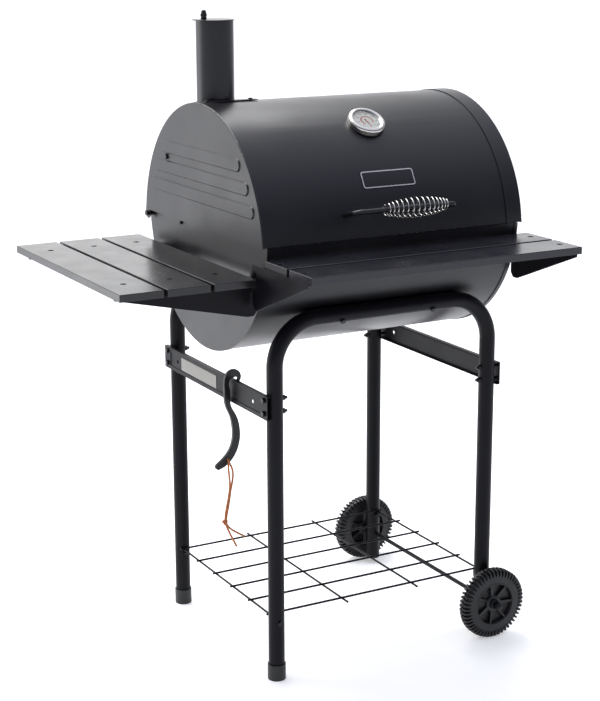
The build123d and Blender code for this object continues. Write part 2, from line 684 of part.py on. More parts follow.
add("warming_rack", rack)

lean = math.hypot(RACK_BODY_Y - RACK_JOIN_Y, RACK_BODY_Z - RACK_JOIN_Z)
tie_y = RACK_JOIN_Y + 16 * (RACK_BODY_Y - RACK_JOIN_Y) / lean
tie_z = RACK_JOIN_Z + 16 * (RACK_BODY_Z - RACK_JOIN_Z) / lean
legs = rod((-LEG_STRIP_X - 1, tie_y, tie_z), (1, 0, 0), 2.5, 2 * LEG_STRIP_X + 2)
for side in (-1, 1):
    ends = ((RACK_BODY_Y, RACK_BODY_Z), (RACK_JOIN_Y, RACK_JOIN_Z))
    strip = side_strip(ends, LEG_STRIP_X, side, RACK_STRIP_H)
    strip -= rod((side * (LEG_STRIP_X - 5), RACK_BODY_Y, RACK_BODY_Z), (side, 0, 0), BOLT_R + FIT, 20)
    strip += rod((side * (LEG_STRIP_X + 1), RACK_JOIN_Y, RACK_JOIN_Z), (-side, 0, 0), BOLT_R - 0.5, 10)
    legs += strip
add("rack_legs", legs)


def pivot_bolt(y, z, face, inner_face, strip_x, side):
    """Pivot bolt for a rack: head outside, spacer sleeve, shank through the strip, nut."""
    head = hexagon((side * face, y, z), (side, 0, 0), 10, 4)
    shank = rod((side * (face + 2), y, z), (-side, 0, 0), BOLT_R, face + 2 - strip_x + 6)
    sleeve_len = inner_face - strip_x - RACK_STRIP - GAP
    sleeve = rod((side * inner_face, y, z), (-side, 0, 0), 5, sleeve_len)
    nut = hexagon((side * (strip_x - GAP), y, z), (-side, 0, 0), 10, 4)
    return [head + shank, sleeve - shank, nut - shank]


body_rack_bolts = []
lid_rack_bolts = []
for side in (-1, 1):
    body_rack_bolts += pivot_bolt(RACK_BODY_Y, RACK_BODY_Z, BODY_HALF, BODY_IN, LEG_STRIP_X, side)
    lid_rack_bolts += pivot_bolt(RACK_LID_Y, RACK_LID_Z, LID_HALF, LID_IN, RACK_SIDE_X, side)
add("body_rack_bolts", *body_rack_bolts)
add("lid_rack_bolts", *lid_rack_bolts)

# ---------------------------------------------------------------- hinge
hinge_bolts = []
for side in (-1, 1):
    head_at = (side * (LID_HALF + GAP), HINGE_Y, HINGE_Z)
    head = hexagon(head_at, (side, 0, 0), 10, 5)
    shank = rod(head_at, (-side, 0, 0), BOLT_R, LID_HALF + GAP - BODY_IN + 8)
    outer_nut = hexagon((side * BODY_HALF, HINGE_Y, HINGE_Z), (side, 0, 0), 10, LID_IN - BODY_HALF - GAP)
    inner_nut = hexagon((side * BODY_IN, HINGE_Y, HINGE_Z), (-side, 0, 0), 10, 5)
    hinge_bolts += [head + shank, outer_nut - shank, inner_nut - shank]
add("hinge_bolts", *hinge_bolts)

# ---------------------------------------------------------------- lid
def lid_point(angle, radius):
    """Point on the lid's curve, angle in degrees from the top towards the front."""
    a = math.radians(angle)
    return (0.0, -radius * math.sin(a), LID_Z + radius * math.cos(a))


def lid_direction(angle):
    """Outward direction on the lid at an angle from the top."""
    a = math.radians(angle)
    return (0.0, -math.sin(a), math.cos(a))


HANDLE_DIST = LID_R + HANDLE_OUT
HANDLE_ANGLE = math.degrees(math.acos((HANDLE_Z - LID_Z) / HANDLE_DIST))
HANDLE_AT = lid_point(HANDLE_ANGLE, HANDLE_DIST)
PLATE_ANGLE = math.degrees(math.acos((PLATE_Z - LID_Z) / LID_R))
GAUGE_AT = lid_point(GAUGE_TILT, LID_R)
GAUGE_N = lid_direction(GAUGE_TILT)

chimney_bore = rod((CHIMNEY_X, CHIMNEY_Y, LID_Z), (0, 0, 1), CHIMNEY_R - SHEET, 420)
gauge_hole = rod(along(GAUGE_AT, GAUGE_N, -20), GAUGE_N, 5.0, 30)
handle_holes = []
for x in HANDLE_X:
    start = lid_point(HANDLE_ANGLE, LID_R - 20)
    handle_holes.append(rod((x, start[1], start[2]), lid_direction(HANDLE_ANGLE), HANDLE_R - 2, 40))

lid_shell = drum(LID_R, LID_Z, -LID_IN, LID_IN) - drum(LID_R - SHEET, LID_Z, -LID_IN, LID_IN)
lid_shell -= below(LID_EDGE, -600, 0)
lid_shell -= below(LID_REAR_EDGE, 0, 600)
lid_shell -= chimney_bore
lid_shell -= gauge_hole
for hole in handle_holes:
    lid_shell -= hole
add("lid_shell", lid_shell)


def lid_end(side):
    """Dished lid end: wide band over the skin, pressed ribs, hinge ear."""
    outer = sorted((side * LID_HALF, side * (LID_HALF - LID_BAND)))
    inner = sorted((side * LID_IN, side * (LID_HALF - LID_BAND)))
    cap = drum(LID_OUT_R, LID_Z, *outer) - below(BODY_TOP)
    rim = cap.edges().filter_by(GeomType.CIRCLE).sort_by(Axis.X)[0 if side < 0 else -1]
    cap = fillet(rim, CORNER_R)
    cap -= drum(LID_R, LID_Z, *inner)
    clear = sorted((side * LID_IN, side * (LID_HALF - LID_BAND)))
    cap -= block((clear[0], 0, LID_REAR_EDGE - 200), (clear[1], 600, LID_REAR_EDGE))
    cap -= block((clear[0], -600, LID_EDGE - 200), (clear[1], 0, LID_EDGE))
    face = sorted((side * LID_HALF, side * LID_IN))
    ear = rod((face[0], HINGE_Y, HINGE_Z), (1, 0, 0), HINGE_EAR_R, SHEET)
    ear += block((face[0], HINGE_Y - HINGE_EAR_R, HINGE_Z), (face[1], HINGE_Y + HINGE_EAR_R, BODY_TOP + 4))
    cap += ear & drum(LID_OUT_R + 0.5, LID_Z, *face)
    for i in range(3):
        z = RIB_FIRST_Z + i * RIB_PITCH
        half = math.sqrt((LID_R - RIB_INSET) ** 2 - (z + RIB_H / 2 - LID_Z) ** 2)
        plane = Plane(origin=(side * LID_HALF, 0, z), x_dir=(0, 1, 0), z_dir=(side, 0, 0))
        cap += extrude(plane * RectangleRounded(2 * half, RIB_H, RIB_END_R), RIB_PROUD, taper=40)
        pocket = RectangleRounded(2 * half - 5, RIB_H - 5, RIB_END_R - 2.5)
        cap -= extrude(plane.offset(-SHEET) * pocket, RIB_PROUD - 0.3)
    cap -= rod((side * (LID_HALF - 20), HINGE_Y, HINGE_Z), (side, 0, 0), BOLT_R + FIT, 40)
    cap -= rod((side * (LID_HALF - 20), RACK_LID_Y, RACK_LID_Z), (side, 0, 0), BOLT_R, 40)
    return cap


add("left_lid_end", lid_end(-1) - chimney_bore)
add("right_lid_end", lid_end(1))

# ---------------------------------------------------------------- chimney
saddle = drum(SADDLE_R, LID_Z, *SADDLE_X) - drum(LID_OUT_R, LID_Z, *SADDLE_X)
saddle = saddle & block((SADDLE_X[0], CHIMNEY_Y - SADDLE_HALF_Y, LID_Z + 50),
                        (SADDLE_X[1], CHIMNEY_Y + SADDLE_HALF_Y, LID_Z + 400))
saddle -= chimney_bore
screw_points = []
for x in (SADDLE_X[0] + 8, CHIMNEY_X + 12, SADDLE_X[1] - 12):
    for y in (CHIMNEY_Y - 44, CHIMNEY_Y + 44):
        screw_points.append((x, y, LID_Z + math.sqrt(SADDLE_R ** 2 - y ** 2)))
flange_screws = []
for x, y, z in screw_points:
    normal = (0, y, z - LID_Z)
    saddle -= rod(along((x, y, z), normal, -10), normal, 2.0, 20)
    head = rod((x, y, z), normal, 4.2, 2.4)
    head = fillet(head.edges().filter_by(GeomType.CIRCLE).sort_by(Axis.Z)[-1], 1.6)
    flange_screws.append(head + rod(along((x, y, z), normal, -8), normal, 2.0, 9))
    lid_hole = rod(along((x, y, z), normal, -20), normal, 2.0, 40)
    nodes["lid_shell"] = (Compound(nodes["lid_shell"]) - lid_hole).solids()
    nodes["left_lid_end"] = (Compound(nodes["left_lid_end"]) - lid_hole).solids()
add("chimney_screws", *flange_screws)

chimney = rod((CHIMNEY_X, CHIMNEY_Y, LID_Z), (0, 0, 1), CHIMNEY_R, CHIMNEY_TOP - LID_Z) - chimney_bore
chimney -= drum(SADDLE_R, LID_Z, CHIMNEY_X - 60, CHIMNEY_X + 60)
pivot_x = CHIMNEY_X - DAMPER_PIVOT
lug = block((CHIMNEY_X - CHIMNEY_R - 5, CHIMNEY_Y - 8, CHIMNEY_TOP - 12),
            (pivot_x + 7, CHIMNEY_Y + 8, CHIMNEY_TOP - 8))
lug = lug & rod((CHIMNEY_X, CHIMNEY_Y, CHIMNEY_TOP - 30), (0, 0, 1), CHIMNEY_R - SHEET / 2, 40)
chimney += lug + saddle
chimney -= rod((pivot_x, CHIMNEY_Y, CHIMNEY_TOP - 40), (0, 0, 1), BOLT_R, 40)
add("chimney", chimney)

damper_low = CHIMNEY_TOP + GAP
damper = rod((CHIMNEY_X - DAMPER_SHIFT, CHIMNEY_Y, damper_low), (0, 0, 1), DAMPER_R, SHEET)
damper -= rod((pivot_x, CHIMNEY_Y, damper_low - 1), (0, 0, 1), BOLT_R + FIT, 5)
add("chimney_damper", damper)
stack = damper_low + SHEET + GAP
pin = rod((pivot_x, CHIMNEY_Y, CHIMNEY_TOP - 18), (0, 0, 1), BOLT_R, stack + 12 - CHIMNEY_TOP + 18)
low_nut = hexagon((pivot_x, CHIMNEY_Y, CHIMNEY_TOP - 12), (0, 0, -1), 10, 4) - pin
nut_1 = hexagon((pivot_x, CHIMNEY_Y, stack), (0, 0, 1), 11, 5) - pin
nut_2 = hexagon((pivot_x, CHIMNEY_Y, stack + 5.5), (0, 0, 1), 12, 5.5)
dome = Pos(pivot_x, CHIMNEY_Y, stack + 13) * Sphere(5.2)
acorn = nut_2 + dome - pin
add("damper_bolt", pin, low_nut, nut_1, acorn)

# ---------------------------------------------------------------- handle and grip
handle_low = lid_point(HANDLE_ANGLE, LID_R - 14)
handle_points = [(HANDLE_X[0], handle_low[1], handle_low[2]),
                 (HANDLE_X[0], HANDLE_AT[1], HANDLE_AT[2]),
                 (HANDLE_X[1], HANDLE_AT[1], HANDLE_AT[2]),
                 (HANDLE_X[1], handle_low[1], handle_low[2])]
handle = swept(FilletPolyline(handle_points, radius=HANDLE_BEND), HANDLE_R)
neck_from = lid_point(HANDLE_ANGLE, LID_R - 15)
for x in HANDLE_X:
    stub = rod((x, neck_from[1], neck_from[2]), lid_direction(HANDLE_ANGLE), HANDLE_R + 1, 15.2)
    handle -= stub - rod((x, neck_from[1], neck_from[2]), lid_direction(HANDLE_ANGLE), HANDLE_R - 2, 16)
add("handle", handle)
handle_nuts = []
for x in HANDLE_X:
    nut_from = lid_point(HANDLE_ANGLE, LID_R - SHEET - 0.5)
    inward = tuple(-c for c in lid_direction(HANDLE_ANGLE))
    nut = hexagon((x, nut_from[1], nut_from[2]), inward, 10, 5)
    core = rod((x, neck_from[1], neck_from[2]), lid_direction(HANDLE_ANGLE), HANDLE_R - 2, 20)
    handle_nuts.append(nut - core)
add("handle_nuts", *handle_nuts)


def grip_coil():
    """Barrel-shaped coil of round wire, close-wound at its ends."""
    steps = 10
    points = []
    for i in range(GRIP_TURNS * steps + 1):
        share = i / (GRIP_TURNS * steps)
        swell = math.sin(math.pi * share) ** 0.62 if 0 < share < 1 else 0.0
        radius = GRIP_END_R + (GRIP_MID_R - GRIP_END_R) * swell
        turn = 2 * math.pi * i / steps
        x = GRIP_X[0] + (GRIP_X[1] - GRIP_X[0]) * share
        points.append((x, HANDLE_AT[1] + radius * math.cos(turn), HANDLE_AT[2] + radius * math.sin(turn)))
    return swept(FilletPolyline(*points, radius=5.0), GRIP_WIRE)


add("spring_grip", grip_coil())

# ---------------------------------------------------------------- thermometer, name plate
gauge_plane = Plane(origin=GAUGE_AT, x_dir=(1, 0, 0), z_dir=GAUGE_N)
bezel = extrude(gauge_plane.offset(GAP) * Circle(GAUGE_R), GAUGE_H)
bezel = fillet(bezel.edges().filter_by(GeomType.CIRCLE).sort_by(Axis.Z)[-1], 6.0)
bezel -= extrude(gauge_plane.offset(DIAL_AT) * Circle(DIAL_R), GAUGE_H)
mouth = extrude(gauge_plane.offset(GLASS_AT) * Circle(GLASS_R), GAUGE_H)
mouth += loft([gauge_plane.offset(GLASS_AT + GLASS_T) * Circle(GLASS_R),
               gauge_plane.offset(GAP + GAUGE_H) * Circle(GAUGE_R - 7.0)])
stem = extrude(gauge_plane.offset(-45) * Circle(3.0), 46)
thread = extrude(gauge_plane.offset(-12) * Circle(4.5), 13)
add("thermometer_case", bezel - mouth + stem + thread)
dial = extrude(gauge_plane.offset(DIAL_AT) * Circle(DIAL_R - FIT), 1.0)
dial += extrude(gauge_plane.offset(DIAL_AT) * Circle(1.0), 3.5)
add("thermometer_dial", dial)
add("thermometer_glass", extrude(gauge_plane.offset(GLASS_AT) * Circle(GLASS_R - FIT), GLASS_T))
needle_shape = Circle(2.6) + Polygon((-1.6, -7), (1.6, -7), (0.5, 17), (-0.5, 17), align=None)
needle_shape = Rot(0, 0, NEEDLE_ANGLE) * (needle_shape - Circle(1.0 + FIT))
add("thermometer_needle", extrude(gauge_plane.offset(DIAL_AT + 1.7) * needle_shape, 0.8))
gauge_nut = hexagon(along(GAUGE_AT, GAUGE_N, -SHEET - 1.0), tuple(-c for c in GAUGE_N), 14, 5)
add("thermometer_nut", gauge_nut - thread)

plate_ring = drum(LID_R + PLATE_T, LID_Z, PLATE_X - PLATE_W / 2, PLATE_X + PLATE_W / 2)
plate_ring -= drum(LID_R, LID_Z, PLATE_X - PLATE_W / 2, PLATE_X + PLATE_W / 2)
plate_plane = Plane(origin=lid_point(PLATE_ANGLE, LID_R - 12), x_dir=(1, 0, 0), z_dir=lid_direction(PLATE_ANGLE))
plate_outline = Pos(PLATE_X, 0) * RectangleRounded(PLATE_W, PLATE_H, 6)
name_plate = plate_ring & extrude(plate_plane * plate_outline, 20)
add("name_plate", name_plate)

# ---------------------------------------------------------------- grate lifter and lace
# Stations of the lifter's centreline from the hook's tip: x, z and half-width.
LIFTER_STATIONS = [(-252.0, 583.5, 2.2), (-251.8, 592.0, 4.4), (-257.0, 598.0, 7.0),
                   (-265.5, 598.4, 8.2), (-274.6, 593.0, 6.6), (-279.4, 580.0, 5.0),
                   (-278.0, 565.0, 6.0), (-277.4, 549.0, 6.2), (-275.6, 534.0, 5.2),
                   (-266.0, 513.0, 6.0), (-259.8, 490.0, 7.4), (-258.8, 470.0, 7.8),
                   (-263.0, 449.0, 7.9), (-274.0, 429.5, 8.2), (-288.0, 417.0, 7.8),
                   (-299.5, 410.5, 6.0)]


def lifter_edge(sign):
    """One long edge of the lifter, offset from its centreline."""
    edge = []
    for i, (x, z, half) in enumerate(LIFTER_STATIONS):
        before = LIFTER_STATIONS[max(i - 1, 0)]
        after = LIFTER_STATIONS[min(i + 1, len(LIFTER_STATIONS) - 1)]
        dx, dz = after[0] - before[0], after[1] - before[1]
        length = math.hypot(dx, dz)
        edge.append((x - sign * half * dz / length, z + sign * half * dx / length))
    return edge


left_edge = lifter_edge(1)
right_edge = lifter_edge(-1)
tip_x, tip_z, tip_half = LIFTER_STATIONS[-1]
hook_x, hook_z, hook_half = LIFTER_STATIONS[0]
outline = Spline(*left_edge) + Spline(*right_edge)
outline += ThreePointArc(left_edge[-1], (tip_x - tip_half * 0.9, tip_z - tip_half * 0.45), right_edge[-1])
outline += ThreePointArc(left_edge[0], (hook_x, hook_z - hook_half), right_edge[0])
lifter_plane = Plane(origin=(0, LIFTER_Y + LIFTER_T / 2, 0), x_dir=(1, 0, 0), z_dir=(0, -1, 0))
lifter = extrude(lifter_plane * make_face(outline), LIFTER_T)
lifter -= rod((LACE_HOLE[0], LIFTER_Y - 20, LACE_HOLE[1]), (0, 1, 0), 2.6, 40)
hang = Pos(HANG_BAR[0] - BAR_X, 0, BAR_TOP - HANG_BAR[1])
add("grate_lifter", hang * lifter)

# Route of each half of the lace, from the hole in the lifter through the knot to its tail.
LACE_FRONT = [(-279.0, -80.0, 425.0), (-279.2, -86.5, 424.6), (-280.4, -89.0, 417.0),
              (-280.8, -88.6, 406.0), (-278.6, -87.6, 389.0), (-275.9, -85.6, 368.0),
              (-279.2, -84.4, 344.0), (-283.4, -83.4, 322.0), (-286.2, -82.6, 306.0),
              (-286.6, -81.9, 291.0), (-281.2, -82.4, 276.0), (-272.6, -83.6, 257.0),
              (-262.4, -83.2, 236.5)]
LACE_REAR = [(-279.0, -80.0, 425.0), (-278.6, -73.5, 424.6), (-274.6, -70.6, 418.4),
             (-267.2, -70.4, 408.0), (-261.9, -71.6, 391.5), (-264.6, -73.6, 373.0),
             (-270.2, -75.8, 356.0), (-273.9, -77.4, 337.0), (-278.0, -78.6, 319.0),
             (-281.8, -79.2, 304.0), (-283.4, -78.4, 289.0), (-275.4, -76.6, 276.0),
             (-259.4, -76.2, 263.5), (-241.0, -75.4, 252.0)]


def lace(route):
    """Limp cord along the route: straight runs joined by arcs as large as they allow."""
    radii = []
    for before, here, after in zip(route, route[1:], route[2:]):
        one = Vector(*here) - Vector(*before)
        two = Vector(*after) - Vector(*here)
        turn = math.radians(one.get_angle(two))
        radii.append(0.45 * min(one.length, two.length) / math.tan(turn / 2))
    path = FilletPolyline(*route, radius=radii)
    tube = swept(path, LACE_R)
    section = math.pi * LACE_R ** 2
    print("lace", round(path.length, 1), "smallest radius", round(min(radii), 1),
          "volume ratio", round(tube.volume / (section * path.length), 4))
    return tube


add("lace_front", hang * lace(LACE_FRONT))
add("lace_rear", hang * lace(LACE_REAR))
add("lace_knot", hang * Pos(*KNOT) * Sphere(KNOT_R))

# ---------------------------------------------------------------- export
cord_nodes = ("lace_front", "lace_rear", "lace_knot")
solid_shapes = [s for name, solids in nodes.items() if name not in cord_nodes for s in solids]
box = Compound(solid_shapes).bounding_box()
shift = (-(box.min.X + box.max.X) / 2, -(box.min.Y + box.max.Y) / 2, 0)
os.makedirs("parts", exist_ok=True)
for name, solids in nodes.items():
    moved = [Pos(*shift) * s for s in solids]
    shape = moved[0] if len(moved) == 1 else Compound(moved)
    export_step(shape, os.path.join("parts", name + ".step"))
print(len(nodes), "nodes, moved by", [round(v, 3) for v in shift], "lowest", round(box.min.Z, 3))
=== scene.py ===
# %% [markdown]
# # A barrel charcoal grill
# The grill stands on a tube cart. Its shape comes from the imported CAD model, which is loaded here as a
# fixed frame. This lesson adds what CAD leaves out: paint, plating, leather, fine moulded parts, light and
# a camera. Every length is in metres, and every place is read from the frame.

# %% Load the frame
import bmesh
import bpy
import json
import math
from mathutils import Matrix, Vector


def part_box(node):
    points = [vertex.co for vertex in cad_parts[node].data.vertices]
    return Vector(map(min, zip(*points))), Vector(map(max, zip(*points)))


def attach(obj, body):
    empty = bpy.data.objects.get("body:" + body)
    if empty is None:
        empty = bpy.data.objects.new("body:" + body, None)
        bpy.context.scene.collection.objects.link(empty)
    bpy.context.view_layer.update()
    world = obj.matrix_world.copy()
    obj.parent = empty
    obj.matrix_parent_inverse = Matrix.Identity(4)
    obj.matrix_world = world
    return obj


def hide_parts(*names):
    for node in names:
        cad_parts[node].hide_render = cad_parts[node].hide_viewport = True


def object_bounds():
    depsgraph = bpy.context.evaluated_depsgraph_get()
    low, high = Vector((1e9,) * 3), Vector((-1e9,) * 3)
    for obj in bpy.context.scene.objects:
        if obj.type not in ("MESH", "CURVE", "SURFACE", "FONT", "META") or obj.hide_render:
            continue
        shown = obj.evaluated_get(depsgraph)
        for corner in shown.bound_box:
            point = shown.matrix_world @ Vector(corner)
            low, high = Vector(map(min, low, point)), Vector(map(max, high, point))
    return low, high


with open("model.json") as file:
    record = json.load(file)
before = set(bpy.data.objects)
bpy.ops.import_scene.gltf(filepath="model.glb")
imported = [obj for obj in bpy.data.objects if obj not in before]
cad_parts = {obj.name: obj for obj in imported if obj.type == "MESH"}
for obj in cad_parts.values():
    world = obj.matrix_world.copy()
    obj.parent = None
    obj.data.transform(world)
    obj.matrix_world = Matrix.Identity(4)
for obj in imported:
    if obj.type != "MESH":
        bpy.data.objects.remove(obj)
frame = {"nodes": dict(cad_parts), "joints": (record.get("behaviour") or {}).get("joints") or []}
cad_bounds = [list(corner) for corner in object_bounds()]
nodes = frame["nodes"]
joints = {joint["name"]: joint for joint in frame["joints"]}
mm = 0.001
print("CAD nodes:", len(nodes), "joints:", len(joints))

# %% [markdown]
# The four legs are the cart's most regular part, so their common centre on the floor is the origin that
# the camera, the lights and the cords are measured from.

# %% Find the middle of the cart
leg_names = ["front_left_leg", "front_right_leg", "rear_left_leg", "rear_right_leg"]
leg_boxes = [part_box(name) for name in leg_names]
low_x, high_x = min(low.x for low, high in leg_boxes), max(high.x for low, high in leg_boxes)
low_y, high_y = min(low.y for low, high in leg_boxes), max(high.y for low, high in leg_boxes)
cart_centre = Vector(((low_x + high_x) / 2, (low_y + high_y) / 2, cad_bounds[0][2]))
print("cart centre:", [round(c, 4) for c in cart_centre])

# %% [markdown]
# ## Camera
# A product shot is taken from a few metres away with a long lens, so that the near and the far legs keep
# nearly the same size. The camera stands at the front left, a little above the lid, and looks down by
# about fourteen degrees. A long lens far away bends the shape less than a wide lens close by.

# %% Place the camera
camera_data = bpy.data.cameras.new("portrait_lens")
camera_data.lens = 84.25
camera_data.sensor_width = 36.0
turn_left, look_down, lean = 28.7, 14.35, 0.21
stand = Vector((-1.6467, -2.8822, 1.4430))
camera = bpy.data.objects.new("camera", camera_data)
bpy.context.scene.collection.objects.link(camera)
turn = Matrix.Rotation(math.radians(-turn_left), 4, "Z")
tilt = Matrix.Rotation(math.radians(90.0 - look_down), 4, "X")
roll = Matrix.Rotation(math.radians(-lean), 4, "Z")
place = Matrix.Translation(cart_centre + stand)
camera.matrix_world = place @ turn @ tilt @ roll
bpy.context.scene.camera = camera
print("camera at", [round(c, 3) for c in camera.location])

# %% [markdown]
# ## Helpers
# A screen colour is written in hex and has to be made linear before a shader can use it. One function
# does that. Another adds a node, sets its options and fills or links its inputs, in shader trees and in
# Geometry Nodes trees alike. A third adds one maths node and gives its result.

# %% Colour and node helpers
def colour(hex_code):
    """A screen hex colour as the linear RGBA that shaders expect."""
    parts = [int(hex_code[i:i + 2], 16) / 255 for i in (0, 2, 4)]
    linear = [c / 12.92 if c <= 0.04045 else ((c + 0.055) / 1.055) ** 2.4 for c in parts]
    return (*linear, 1.0)


def add_node(tree, kind, inputs=None, **options):
    """Adds a node. inputs maps a socket's name or number to a value or to another node's output."""
    made = tree.nodes.new(kind)
    for option, value in options.items():
        setattr(made, option, value)
    for socket, value in (inputs or {}).items():
        if isinstance(value, bpy.types.NodeSocket):
            tree.links.new(value, made.inputs[socket])
        else:
            made.inputs[socket].default_value = value
    return made


def maths(tree, operation, *values):
    """One maths node and its result."""
    return add_node(tree, "ShaderNodeMath", dict(enumerate(values)), operation=operation).outputs[0]


# %% [markdown]
# ## Finishes
# Nearly every finish on the grill has the same three flaws of a real surface: its colour wanders a
# little over a hand's width, its gloss wanders with it, and close up it has a fine grain. One function
# adds all three to a material, at sizes given in real millimetres. A soft edge can also be added, because
# bent and punched sheet never has a perfectly sharp corner, and a small round edge catches the light.

# %% One function for a surface with flaws
def surface(name, dark, light, patch, rough, grain, height, soft_edge=0.0, **sockets):
    """A material: two colours mixed over patches, a roughness range, and a grain of a size and height."""
    made = bpy.data.materials.new(name)
    made.use_nodes = True
    tree = made.node_tree
    shader = tree.nodes["Principled BSDF"]
    for socket, value in sockets.items():
        shader.inputs[socket.replace("_", " ")].default_value = value
    place = add_node(tree, "ShaderNodeTexCoord").outputs["Object"]
    cloud = add_node(tree, "ShaderNodeTexNoise", {"Vector": place, "Scale": 1 / patch, "Detail": 4.0})
    mix = add_node(tree, "ShaderNodeMix", {0: cloud.outputs["Fac"], 6: colour(dark), 7: colour(light)},
                   data_type="RGBA")
    tree.links.new(mix.outputs[2], shader.inputs["Base Color"])
    gloss = add_node(tree, "ShaderNodeMapRange", {"Value": cloud.outputs["Fac"], "From Min": 0.3,
                                                  "From Max": 0.7, "To Min": rough[0], "To Max": rough[1]})
    tree.links.new(gloss.outputs["Result"], shader.inputs["Roughness"])
    fine = add_node(tree, "ShaderNodeTexNoise", {"Vector": place, "Scale": 1 / grain, "Detail": 2.0})
    bump = add_node(tree, "ShaderNodeBump", {"Height": fine.outputs["Fac"], "Strength": 1.0,
                                             "Distance": height})
    if soft_edge:
        edge = add_node(tree, "ShaderNodeBevel", {"Radius": soft_edge}, samples=6)
        tree.links.new(edge.outputs["Normal"], bump.inputs["Normal"])
    tree.links.new(bump.outputs["Normal"], shader.inputs["Normal"])
    return made


# %% [markdown]
# The barrel, the lid, the chimney and the cart are steel, sprayed with a heat-proof black paint and
# baked. It dries to an even satin with a very fine orange peel, about a millimetre across.

# %% Black baked paint
black_paint = surface("heat_proof_black_paint", "0c0c0f", "141418", 90 * mm, (0.31, 0.40), 1.1 * mm,
                      0.016 * mm)
print(black_paint.name)

# %% [markdown]
# The cart's tubes, bars and brackets, its wire shelf and the heads of the slat screws are in the same
# black paint as the barrel, but they get a darker copy of it: a slightly darker colour, and a specular
# level that mirrors less than half as much of the bright room. That is painted shade, for the dimmer
# light on these parts and in the screw recesses, so they look blacker.

# %% Darker copy of the black paint, as painted shade
cart_paint_painted_shade = surface("flat_black_powder_paint", "0a0a0e", "101015", 60 * mm, (0.36, 0.46), 1.0 * mm,
                     0.014 * mm, Specular_IOR_Level=0.15)

# %% [markdown]
# The bolts and nuts are carbon steel, blackened in a hot salt bath. The skin is thin and oily, so it is
# darker and a bit shinier than the paint, with a trace of the steel's own glint.

# %% Blackened steel
blackened_steel = surface("blackened_steel", "08080a", "17171a", 6 * mm, (0.26, 0.42), 0.5 * mm,
                          0.01 * mm, soft_edge=0.4 * mm, Metallic=0.35)
print(blackened_steel.name)

# %% [markdown]
# The shelf slats are planed wood under a thick dark paint. The paint fills the pores, but long, shallow
# waves of the grain still show through along each board, so the grain is a noise stretched along it.

# %% Painted wood slats
def painted_wood(name, dark, light, stretch):
    """Dark paint over planed wood; stretch is large across the board and small along it."""
    made = surface(name, dark, light, 60 * mm, (0.2, 0.28), 0.9 * mm, 0.003 * mm, soft_edge=0.8 * mm)
    tree = made.node_tree
    place = add_node(tree, "ShaderNodeTexCoord").outputs["Object"]
    long_grain = add_node(tree, "ShaderNodeMapping", {"Vector": place, "Scale": stretch})
    grain = add_node(tree, "ShaderNodeTexNoise", {"Vector": long_grain.outputs["Vector"],
                                                  "Scale": 1 / (2.2 * mm), "Detail": 3.0})
    shader = tree.nodes["Principled BSDF"]
    fine_bump = shader.inputs["Normal"].links[0].from_node
    wave = add_node(tree, "ShaderNodeBump", {"Height": grain.outputs["Fac"], "Strength": 1.0,
                                             "Distance": 0.004 * mm, "Normal": fine_bump.outputs["Normal"]})
    tree.links.new(wave.outputs["Normal"], shader.inputs["Normal"])
    return made


side_slat_paint = painted_wood("painted_wood_side_slats", "0e0e10", "151517", (1.0, 0.03, 1.0))
# The front slats' copy is lighter and bluer than the side slats': painted light, for the brighter, bluish
# light that the front shelf catches. Its grain runs the other way because the boards do.
front_slat_paint_painted_light = painted_wood("painted_wood_front_slats", "1a1a20", "232329", (0.03, 1.0, 1.0))
print(side_slat_paint.name, front_slat_paint_painted_light.name)

# %% [markdown]
# The wheels and the tube caps are injection moulded. The mould is spark eroded, which leaves a fine
# matt grain on the plastic. The caps are a softer, more matt grade than the wheels.

# %% Moulded plastics
wheel_plastic = surface("moulded_wheel_plastic", "0b0b0c", "111113", 20 * mm, (0.42, 0.52), 0.6 * mm,
                        0.02 * mm, soft_edge=0.5 * mm)
cap_plastic = surface("soft_cap_plastic", "0a0a0b", "101011", 15 * mm, (0.38, 0.5), 0.8 * mm,
                      0.02 * mm, soft_edge=0.8 * mm)

# %% [markdown]
# Bare and plated metal: the axle is zinc-plated rod, the racks are nickel-plated wire, the charcoal
# grate is plain drawn wire, the spring grip is bright stainless wire, and the gauge has a polished
# stainless bezel. All are full metals, and differ in colour, gloss and grain.

# %% Metals
axle_zinc = surface("zinc_plated_rod", "1a1a1c", "2a2a2c", 12 * mm, (0.3, 0.42), 0.7 * mm, 0.01 * mm,
                    Metallic=1.0)
nickel_wire = surface("nickel_plated_wire", "a9a7a2", "c2c0bb", 25 * mm, (0.18, 0.3), 0.5 * mm,
                      0.004 * mm, Metallic=1.0)
drawn_wire = surface("drawn_steel_wire", "6f6e6c", "8a8987", 20 * mm, (0.34, 0.48), 0.4 * mm,
                     0.01 * mm, Metallic=1.0)
bright_wire = surface("bright_stainless_wire", "c4c2be", "dcdad6", 10 * mm, (0.12, 0.22), 0.5 * mm,
                      0.003 * mm, Metallic=1.0)
polished_steel = surface("polished_stainless_bezel", "c8c5bf", "dedbd5", 14 * mm, (0.1, 0.2), 0.6 * mm,
                         0.004 * mm, Metallic=1.0)
lifter_casting = surface("black_cast_iron", "09090a", "121214", 15 * mm, (0.34, 0.5), 0.9 * mm,
                         0.06 * mm, soft_edge=0.8 * mm)

# %% [markdown]
# Printed and enamelled parts: the dial is white enamel on tin, its marks are printed ink, the needle
# is red paint, the badge is black enamel with a bright outline, and the label is a silver film. The
# renderer lets too little light through the window's glass, so the dial gives off a little of its own.

